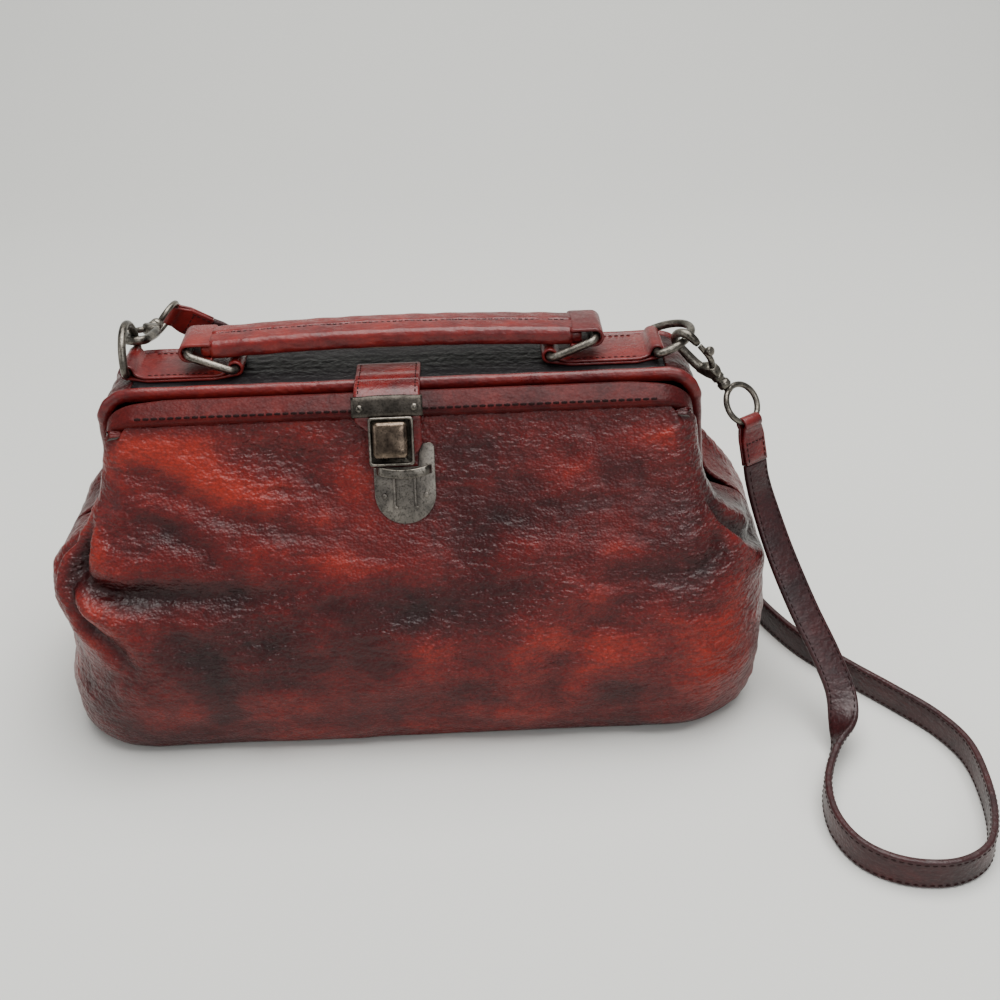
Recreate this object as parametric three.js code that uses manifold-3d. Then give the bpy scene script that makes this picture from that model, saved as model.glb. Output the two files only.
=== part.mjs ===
// A framed doctor bag with a carrying handle and a detachable shoulder strap. Millimetres, +Z up.
// X runs along the bag, -Y is its front and the origin is at the bottom, in the middle.
import * as THREE from "three";
import { mergeVertices } from "three/addons/utils/BufferGeometryUtils.js";
import Module from "manifold-3d";

// ---------- driving dimensions ----------

const GAP = 0.3; // between pieces that touch
const LEATHER = 2.5; // thickness of the bag's walls
const FLOOR = 3; // thickness of the bottom panel
const FLOOR_HALF = { x: 160, y: 60 };
const BOARD = { x: 150, y: 56, thick: 2.5 }; // the stiff board on the bottom panel
const LINING = { thick: 0.9, top: 98 };
const FAR = 400; // beyond the bag on every side, for cutting blocks
const HINGE_Z = 119; // both frames turn on one axis along X, at y = 0
const SPLIT_Z = 118.5; // the walls above this height turn with the frames

// The lower bag: height, half length, half depth and corner radius, level by level.
const TUB_LEVELS = [
  [0, 172, 70, 56],
  [4, 181, 77, 62],
  [15, 188, 84, 66],
  [40, 193, 88, 66],
  [66, 195, 86, 62],
  [88, 189, 80, 52],
  [104, 180, 74.5, 40],
  [111, 174.7, 71.8, 33],
];
// The walls above the fold, in front and behind, up to the two frames.
const FRONT_YOKE_LEVELS = [
  [SPLIT_Z + 1.5, 163, 66, 22],
  [160, 156, 49, 14],
  [173.8, 152.6, 43.2, 10],
];
const REAR_YOKE_LEVELS = [
  [SPLIT_Z + 1.5, 163, 66, 22],
  [160, 156, 45, 14],
  [181, 152, 31, 10],
];
const SEAM_X = 158; // front and rear walls end here, the gussets begin
const CORNER_STEPS = 5; // chords in each rounded corner of a wall's outline

// The lid: the wide top of the rear frame, whose ends narrow down to the hinges.
const LID_TOP_Z = 188.5;
const LID_HALF_LENGTH = 154.4;
const LID_HALF_DEPTH = 22;
const LID_SPLAY = 8.3; // how much further apart the ends are at the hinges
const LID_SKIN = 2.4;
const CHEEK_FOOT_Z = 112;
const CHEEK_FOOT_HALF_DEPTH = 5;
const CHEEK_FULL_Z = 176; // the cheeks are as deep as the lid from here up
const FRAME_CORNER = 16;
const ROLL_RADIUS = 2.3; // the rolled edge along both sides of the lid

// The front frame: a steel strip in a plane that leans forward from the hinge axis.
const FRONT_BAR_Y = -40;
const FRONT_BAR_Z = 181;
const FRONT_HALF_LENGTH = 147;
const FRONT_SPLAY = 7.5;
const STEEL = 2.4;
const PIN_RADIUS = 2;

// The straps sewn along the lid, with a folded loop at each end.
const FITTINGS_X = -3; // the handle and its straps sit a little to the left on the lid
const BASE_STRAP = { outer: 136.5, inner: 81, width: 34, loopWidth: 27, thick: 2.2 };
const BAR_RADIUS = 2.1; // wire of the D-rings and of the handle rings
const LOOP_HOLE = 2.5;
const LOOP_Z = LID_TOP_Z + GAP + BASE_STRAP.thick + LOOP_HOLE;

const D_RING = { halfWidth: 17, shoulder: 2, height: 18.5 };
const D_RING_LEAN = { left: 92, right: 20 }; // degrees above +X, about the bar

const HANDLE_RING = { halfWidth: 17, reach: 25, lean: 22, corner: 3.4 };
const HANDLE = { halfLength: 108.6, width: 26, thick: 9.4, wrap: 15.5, skin: 2.2 };
const HANDLE_SLOT = { halfHeight: 2.5, out: 2.5, in: 5.7 }; // round the ring's upper bar

// The latch. Its plate lies on the front wall, which slopes forward as it goes down.
const WALL_FOOT = { y: -49, z: 160 };
const WALL_SLOPE = Math.atan2(66 - 49, 160 - SPLIT_Z - 1.5);
const TAB_X = -5.5;
const TAB_HALF = 16.5;
const TONGUE_X = -2;
const TONGUE_HALF = 13;
const HASP_X = -4;
const LOCK_X = 1.5;
const HASP = { width: 22.6, height: 23, foot: -6, base: 7, rim: 10.4 };
const KEEPER = { width: 26, height: 4.8, centre: -9.2, inner: 4.5, outer: 7.2 };

// The clips of the shoulder strap.
const HOOK = { bend: 6.2, wire: 2.3, neck: 24, barrel: 9, barrelRadius: 3.3 };
const EYE = { radius: 10.4, wire: 1.6 };
const STRAP = { width: 16, thick: 3.5 };

const COLOURS = {
  leather: [0x7e1b1a, 0.42, 0],
  dark_leather: [0x241c1d, 0.5, 0],
  strap_leather: [0x4a1718, 0.5, 0],
  hardware: [0x6b6257, 0.38, 1],
  steel: [0x8a8a88, 0.4, 1],
  lining: [0x3a2f2b, 0.9, 0],
  board: [0x7d6a52, 0.9, 0],
};

// ---------- helpers ----------

const wasm = await Module();
wasm.setup();

const vector = (x, y, z) => new THREE.Vector3(x, y, z);
const X_AXIS = vector(1, 0, 0);
const Y_AXIS = vector(0, 1, 0);
const Z_AXIS = vector(0, 0, 1);

const bag = new THREE.Group();

function piece(name, geometry, colour, parent = bag) {
  const [color, roughness, metalness] = COLOURS[colour];
  const material = new THREE.MeshStandardMaterial({ color, roughness, metalness });
  const mesh = new THREE.Mesh(geometry, material);
  mesh.name = name;
  parent.add(mesh);
  return mesh;
}

function signedVolume(geometry) {
  const p = geometry.attributes.position;
  const a = vector();
  const b = vector();
  const c = vector();
  let sum = 0;
  for (let i = 0; i < p.count; i += 3) {
    a.fromBufferAttribute(p, i);
    b.fromBufferAttribute(p, i + 1);
    c.fromBufferAttribute(p, i + 2);
    sum += a.dot(b.cross(c));
  }
  return sum / 6;
}

// A flat ring of points cut into triangles, as indices that run round the way the ring runs.
function capOf(ring) {
  const normal = vector(0, 0, 0);
  ring.forEach((p, i) => normal.add(p.clone().cross(ring[(i + 1) % ring.length])));
  normal.normalize();
  const across = ring[1].clone().sub(ring[0]).normalize();
  const up = normal.clone().cross(across);
  const flat = ring.map((p) => new THREE.Vector2(p.dot(across), p.dot(up)));
  return THREE.ShapeUtils.triangulateShape(flat, []).map(([a, b, c]) =>
    THREE.ShapeUtils.area([flat[a], flat[b], flat[c]]) > 0 ? [a, b, c] : [a, c, b],
  );
}

// Skins a row of rings into one closed body. A closed row joins its last ring to its first.
function skin(rings, closed = false) {
  const points = [];
  const count = rings[0].length;
  const spans = closed ? rings.length : rings.length - 1;
  for (let i = 0; i < spans; i++) {
    const here = rings[i];
    const next = rings[(i + 1) % rings.length];
    for (let j = 0; j < count; j++) {
      const k = (j + 1) % count;
      points.push(here[j], here[k], next[k], here[j], next[k], next[j]);
    }
  }
  if (!closed) {
    const first = rings[0];
    const last = rings[rings.length - 1];
    capOf(first).forEach(([a, b, c]) => points.push(first[a], first[c], first[b]));
    capOf(last).forEach(([a, b, c]) => points.push(last[a], last[b], last[c]));
  }
  const geometry = new THREE.BufferGeometry().setFromPoints(points);
  if (signedVolume(geometry) < 0) {
    for (let i = 0; i < points.length; i += 3) {
      [points[i + 1], points[i + 2]] = [points[i + 2], points[i + 1]];
    }
    geometry.setFromPoints(points);
  }
  geometry.computeVertexNormals();
  return geometry;
}

// Sweeps a flat section along a path. Each section point is [across, out]: across lies along the
// side direction and out is square to it and to the path.
function sweep(path, side, section, closed = false) {
  const n = path.length;
  const rings = path.map((point, i) => {
    const before = path[closed ? (i + n - 1) % n : Math.max(i - 1, 0)];
    const after = path[closed ? (i + 1) % n : Math.min(i + 1, n - 1)];
    const along = after.clone().sub(before).normalize();
    const across = (Array.isArray(side) ? side[i] : side).clone();
    across.addScaledVector(along, -across.dot(along)).normalize();
    const out = along.clone().cross(across);
    const outline = typeof section === "function" ? section(point) : section;
    return outline.map(([a, b]) => point.clone().addScaledVector(across, a).addScaledVector(out, b));
  });
  return skin(rings, closed);
}

function circle(radius, sides = 8) {
  return Array.from({ length: sides }, (_, i) => {
    const turn = ((i + 0.5) / sides) * 2 * Math.PI;
    return [radius * Math.cos(turn), radius * Math.sin(turn)];
  });
}

const rectangle = (halfAcross, outLow, outHigh, centre = 0) => [
  [centre - halfAcross, outLow],
  [centre + halfAcross, outLow],
  [centre + halfAcross, outHigh],
  [centre - halfAcross, outHigh],
];

function toSolid(geometry) {
  const bare = geometry.index ? geometry.toNonIndexed() : geometry.clone();
  bare.deleteAttribute("normal");
  bare.deleteAttribute("uv");
  const merged = mergeVertices(bare, 1e-4);
  const mesh = new wasm.Mesh({
    numProp: 3,
    vertProperties: merged.attributes.position.array,
    triVerts: new Uint32Array(merged.index.array),
  });
  return new wasm.Manifold(mesh);
}

function toGeometry(solid) {
  const mesh = solid.getMesh();
  const geometry = new THREE.BufferGeometry();
  geometry.setAttribute("position", new THREE.BufferAttribute(mesh.vertProperties, 3));
  geometry.setIndex(new THREE.BufferAttribute(mesh.triVerts, 1));
  geometry.computeVertexNormals();
  return geometry;
}

function block(low, high) {
  const size = high.clone().sub(low);
  const middle = low.clone().add(high).multiplyScalar(0.5);
  return new THREE.BoxGeometry(size.x, size.y, size.z).translate(middle.x, middle.y, middle.z);
}

// A cylinder between two points, open to nothing and closed at both ends.
function rod(from, to, radius, sides = 16) {
  const along = to.clone().sub(from);
  const side = Math.abs(along.x) > Math.abs(along.z) ? Z_AXIS : X_AXIS;
  return sweep([from, to], side, circle(radius, sides));
}

// ---------- leather body ----------

// A rounded rectangle at one height, anticlockwise from above.
function wallOutline(z, halfLength, halfDepth, corner) {
  const ring = [];
  const corners = [
    [1, 1, 0],
    [-1, 1, 90],
    [-1, -1, 180],
    [1, -1, 270],
  ];
  for (const [sx, sy, start] of corners) {
    for (let i = 0; i <= CORNER_STEPS; i++) {
      const turn = THREE.MathUtils.degToRad(start + (90 * i) / CORNER_STEPS);
      const x = sx * (halfLength - corner) + corner * Math.cos(turn);
      const y = sy * (halfDepth - corner) + corner * Math.sin(turn);
      ring.push(vector(x, y, z));
    }
  }
  return ring;
}

// The space inside a run of levels, drawn in by a thickness, from a floor up past its top.
function wallSpace(levels, inset, floor, above) {
  const kept = levels.filter(([z], i) => z > floor || i === levels.length - 1);
  const all = [[floor, ...levelAt(levels, floor)], ...kept];
  const top = all[all.length - 1];
  all[all.length - 1] = [top[0] + above, ...top.slice(1)];
  return skin(
    all.map(([z, length, depth, corner]) =>
      wallOutline(z, length - inset, depth - inset, Math.max(corner - inset, 2)),
    ),
  );
}

function levelAt(levels, z) {
  const next = levels.findIndex((level) => level[0] > z);
  if (next <= 0) return (next === 0 ? levels[0] : levels[levels.length - 1]).slice(1);
  const low = levels[next - 1];
  const high = levels[next];
  const part = (z - low[0]) / (high[0] - low[0]);
  return low.slice(1).map((value, i) => THREE.MathUtils.lerp(value, high[i + 1], part));
}

function makeTub() {
  const outer = toSolid(skin(TUB_LEVELS.map((level) => wallOutline(...level))));
  const inner = toSolid(wallSpace(TUB_LEVELS, LEATHER, FLOOR, 5));
  const shell = outer.subtract(inner);
  const { x, y } = FLOOR_HALF;
  const floor = block(vector(-x, -y, -1), vector(x, y, FLOOR + 1));
  const round = block(vector(-x - GAP, -y - GAP, -1), vector(x + GAP, y + GAP, FLOOR + 1));
  piece("bottom_panel", toGeometry(shell.intersect(toSolid(floor))), "leather");
  const walls = shell.subtract(toSolid(round));
  const regions = {
    front_panel: [vector(-SEAM_X, -FAR, -1), vector(SEAM_X, -GAP / 2, FAR)],
    rear_panel: [vector(-SEAM_X, GAP / 2, -1), vector(SEAM_X, FAR, FAR)],
    gusset_left: [vector(-FAR, -FAR, -1), vector(-SEAM_X - GAP, FAR, FAR)],
    gusset_right: [vector(SEAM_X + GAP, -FAR, -1), vector(FAR, FAR, FAR)],
  };
  for (const [name, [low, high]] of Object.entries(regions)) {
    piece(name, toGeometry(walls.intersect(toSolid(block(low, high)))), "leather");
  }
}

// The stiff board on the bottom panel, and the cloth lining over it and up the walls.
function makeInside() {
  const foot = FLOOR + GAP;
  const { x, y, thick } = BOARD;
  piece("base_board", block(vector(-x, -y, foot), vector(x, y, foot + thick)), "board");
  const liningFoot = foot + thick + GAP;
  const inset = LEATHER + 2 * GAP;
  const below = block(vector(-FAR, -FAR, -1), vector(FAR, FAR, LINING.top));
  const outer = toSolid(wallSpace(TUB_LEVELS, inset, liningFoot, 0)).intersect(toSolid(below));
  const inner = toSolid(wallSpace(TUB_LEVELS, inset + LINING.thick, liningFoot + LINING.thick, 5));
  piece("lining", toGeometry(outer.subtract(inner)), "lining");
}

// One half of the walls above the fold. The region is a prism along X over an outline in (y, z).
function makeYoke(name, levels, outline) {
  const outer = toSolid(skin(levels.map((level) => wallOutline(...level))));
  const inner = toSolid(wallSpace(levels, LEATHER, levels[0][0] - 5, 5));
  const ends = [-FAR, FAR].map((x) => outline.map(([y, z]) => vector(x, y, z)));
  piece(name, toGeometry(outer.subtract(inner).intersect(toSolid(skin(ends)))), "leather");
}

// ---------- frames and lid ----------

// Half of a U in (x, height), from the foot of a leg round the corner to the middle, then mirrored.
function uPath(halfLength, splay, foot, top, corner, splayHeight, steps = 6) {
  const slope = splay / splayHeight;
  const cornerFoot = top - corner;
  const half = [[halfLength + slope * (cornerFoot - foot), foot]];
  half.push([halfLength + (slope * (cornerFoot - foot)) / 2, (foot + cornerFoot) / 2]);
  for (let i = 0; i <= steps; i++) {
    const turn = ((i / steps) * Math.PI) / 2;
    half.push([halfLength - corner + corner * Math.cos(turn), cornerFoot + corner * Math.sin(turn)]);
  }
  const left = half.map(([x, s]) => [-x, s]);
  const right = [...half].reverse();
  return [...left, ...right];
}

const leg = vector(0, FRONT_BAR_Y, FRONT_BAR_Z - HINGE_Z);
const frontReach = leg.length();
const frontUp = leg.clone().normalize();
const frontNormal = X_AXIS.clone().cross(frontUp);
const onFrontPlane = ([x, s]) => vector(x, 0, HINGE_Z).addScaledVector(frontUp, s);

function pinHoles(geometry) {
  const hole = toSolid(rod(vector(-FAR, 0, HINGE_Z), vector(FAR, 0, HINGE_Z), PIN_RADIUS + GAP));
  return toGeometry(toSolid(geometry).subtract(hole));
}

function makeFrontFrame() {
  const foot = -6;
  const path = uPath(FRONT_HALF_LENGTH, FRONT_SPLAY, foot, frontReach, FRAME_CORNER, frontReach);
  const strip = sweep(path.map(onFrontPlane), frontNormal, rectangle(3.4, -1.2, STEEL - 1.2));
  piece("front_frame", pinHoles(strip), "steel");
  const bindingFoot = 17.5;
  const cover = uPath(FRONT_HALF_LENGTH, FRONT_SPLAY, bindingFoot, frontReach, FRAME_CORNER, frontReach);
  const channel = [
    [-5, -2.6],
    [-5, 2.6],
    [5, 2.6],
    [5, -2.6],
    [4, -2.6],
    [4, 1.6],
    [-4, 1.6],
    [-4, -2.6],
  ];
  const mirrored = channel.map(([a, b]) => [a, -b]);
  piece("front_binding", sweep(cover.map(onFrontPlane), frontNormal, mirrored), "leather");
}

const lidHalfDepthAt = (z) => {
  const part = THREE.MathUtils.clamp((z - CHEEK_FOOT_Z - 12) / (CHEEK_FULL_Z - CHEEK_FOOT_Z - 12), 0, 1);
  return THREE.MathUtils.lerp(CHEEK_FOOT_HALF_DEPTH, LID_HALF_DEPTH, part);
};

function makeLid() {
  const middle = LID_TOP_Z - LID_SKIN / 2;
  const half = LID_HALF_LENGTH - LID_SKIN / 2;
  const path = uPath(half, LID_SPLAY, CHEEK_FOOT_Z, middle, FRAME_CORNER, middle - CHEEK_FOOT_Z);
  const points = path.map(([x, z]) => vector(x, 0, z));
  const section = (point) => rectangle(lidHalfDepthAt(point.z), -LID_SKIN / 2, LID_SKIN / 2);
  const legPoints = points.length / 2;
  piece("cheek_left", sweep(points.slice(0, legPoints), Y_AXIS, section), "leather");
  piece("cheek_right", sweep(points.slice(legPoints), Y_AXIS, section), "leather");
  const flat = half - FRAME_CORNER - GAP;
  const top = [vector(-flat, 0, middle), vector(flat, 0, middle)];
  piece("lid_top", sweep(top, Y_AXIS, section), "dark_leather");
  for (const [name, side] of Object.entries({ lid_roll_front: -1, lid_roll_rear: 1 })) {
    const edge = points.map((p) => vector(p.x, side * (lidHalfDepthAt(p.z) + ROLL_RADIUS + GAP), p.z));
    piece(name, sweep(edge, Y_AXIS, circle(ROLL_RADIUS)), "leather");
  }
  const inside = LID_SKIN / 2 + GAP + 1;
  const [steelHalf, steelTop, steelCorner] = [half - inside, middle - inside, FRAME_CORNER - inside];
  const tall = middle - CHEEK_FOOT_Z;
  const steelPath = uPath(steelHalf, LID_SPLAY, CHEEK_FOOT_Z + 1, steelTop, steelCorner, tall);
  const strip = sweep(steelPath.map(([x, z]) => vector(x, 0, z)), Y_AXIS, rectangle(4.6, -0.95, 0.95));
  piece("rear_frame", pinHoles(strip), "steel");
}

// Each pin joins a leg of the front frame to a leg of the rear frame, with a head inside the bag.
function makeHingePins() {
  for (const [name, side] of Object.entries({ hinge_pin_left: -1, hinge_pin_right: 1 })) {
    const shank = rod(vector(side * 150.4, 0, HINGE_Z), vector(side * 157.2, 0, HINGE_Z), PIN_RADIUS);
    const head = rod(vector(side * 149.2, 0, HINGE_Z), vector(side * 151, 0, HINGE_Z), 3.6);
    piece(name, toGeometry(toSolid(shank).add(toSolid(head))), "hardware");
  }
}

// ---------- straps and rings on the lid ----------

// Extrudes an outline drawn in (x, z) along Y, centred on y = 0.
function alongY(shape, width) {
  const options = { depth: width, bevelEnabled: false, curveSegments: 8 };
  const geometry = new THREE.ExtrudeGeometry(shape, options);
  return geometry.rotateX(Math.PI / 2).translate(0, width / 2, 0);
}

function holeIn(shape, x, z, radius) {
  const hole = new THREE.Path();
  hole.absarc(x, z, radius, 0, 2 * Math.PI, true);
  shape.holes.push(hole);
}

function makeBaseStrap(name, side) {
  const { outer, inner, width, loopWidth, thick } = BASE_STRAP;
  const radius = LOOP_HOLE + thick;
  const bottom = LOOP_Z - radius;
  const lift = Math.asin((radius - thick) / radius);
  const [left, right] = (side < 0 ? [-outer, -inner] : [inner, outer]).map((x) => x + FITTINGS_X);
  const loops = new THREE.Shape();
  loops.moveTo(left, bottom);
  loops.lineTo(right, bottom);
  loops.absarc(right, LOOP_Z, radius, -Math.PI / 2, Math.PI + lift, false);
  loops.absarc(left, LOOP_Z, radius, -lift, -Math.PI / 2, false);
  holeIn(loops, left, LOOP_Z, LOOP_HOLE);
  holeIn(loops, right, LOOP_Z, LOOP_HOLE);
  const flat = block(
    vector(left + 8.5, -width / 2, bottom),
    vector(right - 8.5, width / 2, bottom + thick),
  );
  piece(name, toGeometry(toSolid(alongY(loops, loopWidth)).add(toSolid(flat))), "leather");
}

// A D of wire whose bar lies on the local Y axis, and whose bow stands up along local Z.
function dRingPath() {
  const { halfWidth, shoulder, height } = D_RING;
  const steps = 12;
  const path = [vector(0, -halfWidth, 0), vector(0, halfWidth, 0)];
  for (let i = 0; i <= steps; i++) {
    const turn = (i / steps) * Math.PI;
    path.push(vector(0, halfWidth * Math.cos(turn), shoulder + height * Math.sin(turn)));
  }
  return path;
}

function handleRingPath() {
  const { halfWidth, reach, corner } = HANDLE_RING;
  const steps = 3;
  const path = [];
  const corners = [
    [1, reach, 0],
    [-1, reach, 90],
    [-1, 0, 180],
    [1, 0, 270],
  ];
  for (const [side, foot, start] of corners) {
    const inward = foot > 0 ? foot - corner : corner;
    for (let i = 0; i <= steps; i++) {
      const turn = THREE.MathUtils.degToRad(start + (90 * i) / steps);
      const y = side * (halfWidth - corner) + corner * Math.cos(turn);
      path.push(vector(0, y, inward + corner * Math.sin(turn)));
    }
  }
  return path;
}

// A ring stood on its bar at (x, z), leaning to an angle above +X.
function makeRing(name, path, x, z, lean) {
  const ring = piece(name, sweep(path, X_AXIS, circle(BAR_RADIUS), true), "hardware");
  ring.position.set(FITTINGS_X + x, 0, z);
  ring.rotation.y = THREE.MathUtils.degToRad(90 - lean);
  return ring;
}

// ---------- handle ----------

const ringLean = THREE.MathUtils.degToRad(HANDLE_RING.lean);
const handleBarX = BASE_STRAP.inner + HANDLE_RING.reach * Math.cos(ringLean);
const handleBarZ = LOOP_Z + HANDLE_RING.reach * Math.sin(ringLean);

function makeHandle() {
  const { halfLength, width, thick, wrap, skin: cover } = HANDLE;
  const coverHalf = halfLength - wrap - GAP;
  const shape = new THREE.Shape();
  roundedBox(shape, width / 2, thick / 2, 3.4);
  const hollow = new THREE.Path();
  roundedBox(hollow, width / 2 - cover, thick / 2 - cover, 1.4);
  shape.holes.push(hollow);
  const core = new THREE.Shape();
  roundedBox(core, width / 2 - cover - GAP, thick / 2 - cover - GAP, 1.2);
  piece("handle_cover", alongX(shape, coverHalf), "leather").position.set(FITTINGS_X, 0, handleBarZ);
  piece("handle_core", alongX(core, coverHalf - 1), "board").position.set(FITTINGS_X, 0, handleBarZ);
  for (const [name, turn] of Object.entries({ handle_end_left: Math.PI, handle_end_right: 0 })) {
    const end = piece(name, alongY(handleEndShape(), width + 1), "leather");
    end.position.set(FITTINGS_X, 0, handleBarZ);
    end.rotation.z = turn;
  }
}

// The right end of the handle from the side, with the slot that the ring's upper bar lies in.
function handleEndShape() {
  const { halfLength, thick, wrap } = HANDLE;
  const { halfHeight, out, in: inward } = HANDLE_SLOT;
  const nose = thick / 2;
  const quarter = Math.PI / 2;
  const end = new THREE.Shape();
  end.moveTo(halfLength - wrap, -nose);
  end.lineTo(halfLength - nose, -nose);
  end.absarc(halfLength - nose, 0, nose, -quarter, quarter, false);
  end.lineTo(halfLength - wrap, nose);
  const slot = new THREE.Path();
  slot.absarc(handleBarX + out - halfHeight, 0, halfHeight, -quarter, quarter, false);
  slot.absarc(handleBarX - inward + halfHeight, 0, halfHeight, quarter, 3 * quarter, false);
  end.holes.push(slot);
  return end;
}

function roundedBox(path, halfWidth, halfHeight, corner) {
  const corners = [
    [1, 1, 0],
    [-1, 1, 90],
    [-1, -1, 180],
    [1, -1, 270],
  ];
  for (const [sx, sy, start] of corners) {
    const turn = THREE.MathUtils.degToRad(start);
    const [x, y] = [sx * (halfWidth - corner), sy * (halfHeight - corner)];
    path.absarc(x, y, corner, turn, turn + Math.PI / 2, false);
  }
}

// Extrudes an outline drawn in (y, z) along X, to the same length on both sides of x = 0.
function alongX(shape, halfLength) {
  const options = { depth: 2 * halfLength, bevelEnabled: false, curveSegments: 4 };
  const geometry = new THREE.ExtrudeGeometry(shape, options);
  return geometry.translate(0, 0, -halfLength).rotateZ(Math.PI / 2).rotateY(Math.PI / 2);
}

// ---------- latch ----------

// A group laid on the front wall: local X along the bag, local Z up the slope, local -Y out of it.
const onWall = new THREE.Group();
onWall.position.set(0, WALL_FOOT.y, WALL_FOOT.z);
onWall.rotation.x = -WALL_SLOPE;
bag.add(onWall);

// Extrudes an outline drawn in (x, z) out of the wall, from one height above it to another.
function outOfWall(shape, low, high) {
  const options = { depth: high - low, bevelEnabled: false, curveSegments: 10 };
  const geometry = new THREE.ExtrudeGeometry(shape, options);
  return geometry.rotateX(Math.PI / 2).translate(0, -low, 0);
}

// The tab's middle line over the edge of the lid and down in front of the frame, in (y, z).
const TAB_LINE = [
  [-30.6, 190.6],
  [-38, 190.6],
  [-43.6, 188],
  [-47.2, 182.2],
  [-47.5, 177.7],
  [-49.4, 168.8],
  [-53.4, 157.6],
];

function makeTab() {
  const thick = 2.2;
  const curve = new THREE.CatmullRomCurve3(TAB_LINE.map(([y, z]) => vector(0, y, z)));
  const line = curve.getPoints(14);
  const widthAt = (point) => {
    const part = THREE.MathUtils.smoothstep(178 - point.z, 0, 8);
    const half = THREE.MathUtils.lerp(TAB_HALF, TONGUE_HALF, part);
    return rectangle(half, -thick / 2, thick / 2, THREE.MathUtils.lerp(TAB_X, TONGUE_X, part));
  };
  piece("latch_tab", sweep(line, X_AXIS, widthAt), "leather");
  const onLid = LID_TOP_Z + GAP + thick / 2;
  const overRoll = onLid + ROLL_RADIUS - LID_SKIN / 2;
  const [seamY, seamZ] = TAB_LINE[0];
  const rootLine = [
    vector(0, -8, onLid),
    vector(0, -19.5, onLid),
    vector(0, -24, overRoll),
    vector(0, seamY + GAP, seamZ),
  ];
  const flat = rectangle(TAB_HALF, -thick / 2, thick / 2, TAB_X);
  piece("latch_tab_root", sweep(rootLine, X_AXIS, flat), "leather");
  makeClip(curve, thick);
}

// The metal clip across the tab, bent with it, and its two rivets.
function makeClip(curve, thick) {
  const plate = 1.2;
  const lift = thick / 2 + GAP + plate / 2;
  const outward = (t) => curve.getTangent(t).cross(X_AXIS);
  const at = (t, height) => curve.getPoint(t).addScaledVector(outward(t), height);
  const bend = [0.34, 0.4, 0.46, 0.52, 0.58].map((t) => at(t, lift));
  piece("clip_plate", sweep(bend, X_AXIS, rectangle(17.8, -plate / 2, plate / 2, TAB_X)), "hardware");
  const base = lift + plate / 2 + GAP;
  for (const [name, side] of Object.entries({ clip_rivet_left: -1, clip_rivet_right: 1 })) {
    const shift = vector(TAB_X + side * 13.6, 0, 0);
    const foot = at(0.46, base).add(shift);
    const cap = at(0.46, base + 1.1).add(shift);
    piece(name, rod(foot, cap, 1.9, 12), "hardware");
  }
}

// The hasp is a shallow tray that frames the button.
function makeHasp() {
  const { width, height, foot, base, rim } = HASP;
  const [left, right, top] = [HASP_X - width / 2, HASP_X + width / 2, foot + height];
  const wall = 2.2;
  const tray = block(vector(left, -rim, foot), vector(right, -base, top));
  const well = block(
    vector(left + wall, -rim - 1, foot + wall),
    vector(right - wall, -base - 1.2, top - wall),
  );
  piece("hasp_frame", toGeometry(toSolid(tray).subtract(toSolid(well))), "hardware", onWall);
  const slack = wall + 0.6;
  const button = block(
    vector(left + slack, -rim - 1.4, foot + slack),
    vector(right - slack, -base - 3.4, top - slack),
  );
  piece("latch_button", button, "hardware", onWall);
}

function makeLock() {
  const plate = new THREE.Shape();
  const half = 15.5;
  const round = -21;
  const ear = 4.2;
  plate.moveTo(LOCK_X - half, -7);
  plate.lineTo(LOCK_X - half, round);
  plate.absarc(LOCK_X, round, half, Math.PI, 2 * Math.PI, false);
  plate.lineTo(LOCK_X + half, ear);
  plate.lineTo(LOCK_X + half - 8, ear);
  plate.lineTo(LOCK_X + half - 8, -7);
  let solid = toSolid(outOfWall(plate, GAP, 1.5));
  for (const x of [-5.5, 5]) {
    const rib = block(vector(LOCK_X + x - 0.6, -2.9, -28), vector(LOCK_X + x + 0.6, -1, -12.6));
    solid = solid.add(toSolid(rib));
  }
  piece("lock_plate", toGeometry(solid), "hardware", onWall);
  makeKeeper();
  for (const [name, x] of Object.entries({ lock_rivet_left: -10.5, lock_rivet_right: 10.5 })) {
    const foot = vector(LOCK_X + x, -1.5 - GAP, -22);
    piece(name, rod(foot, foot.clone().add(vector(0, -0.9, 0)), 1.5, 10), "hardware", onWall);
  }
}

// The bar that the hasp closes onto: a staple with a foot at each end.
function makeKeeper() {
  const { width, height, centre, inner, outer } = KEEPER;
  const foot = 1.5 + GAP;
  const half = width / 2;
  const staple = new THREE.Shape();
  const leg = 2.4;
  const outline = [
    [-half, foot],
    [-half + leg, foot],
    [-half + leg, inner],
    [half - leg, inner],
    [half - leg, foot],
    [half, foot],
    [half, outer - 1],
    [half - 1, outer],
    [-half + 1, outer],
    [-half, outer - 1],
  ];
  staple.setFromPoints(outline.map(([x, y]) => new THREE.Vector2(LOCK_X + x, -y)));
  const geometry = new THREE.ExtrudeGeometry(staple, { depth: height, bevelEnabled: false });
  piece("keeper_bar", geometry.translate(0, 0, centre - height / 2), "hardware", onWall);
}

// ---------- shoulder strap and its clips ----------

// Each side: where the D-ring's wire lies in the hook, the way the clip hangs from it (down), the
// wire's direction there, the direction across the strap's width and the way its end falls.
const dBow = (angle) => {
  const turn = THREE.MathUtils.degToRad(angle);
  return [D_RING.halfWidth * Math.cos(turn), D_RING.shoulder + D_RING.height * Math.sin(turn)];
};

function onDRing(side, bowAngle) {
  const [y, height] = dBow(bowAngle);
  const lean = THREE.MathUtils.degToRad(side < 0 ? D_RING_LEAN.left : D_RING_LEAN.right);
  const x = FITTINGS_X + side * BASE_STRAP.outer + height * Math.cos(lean);
  return vector(x, y, LOOP_Z + height * Math.sin(lean));
}

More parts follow.
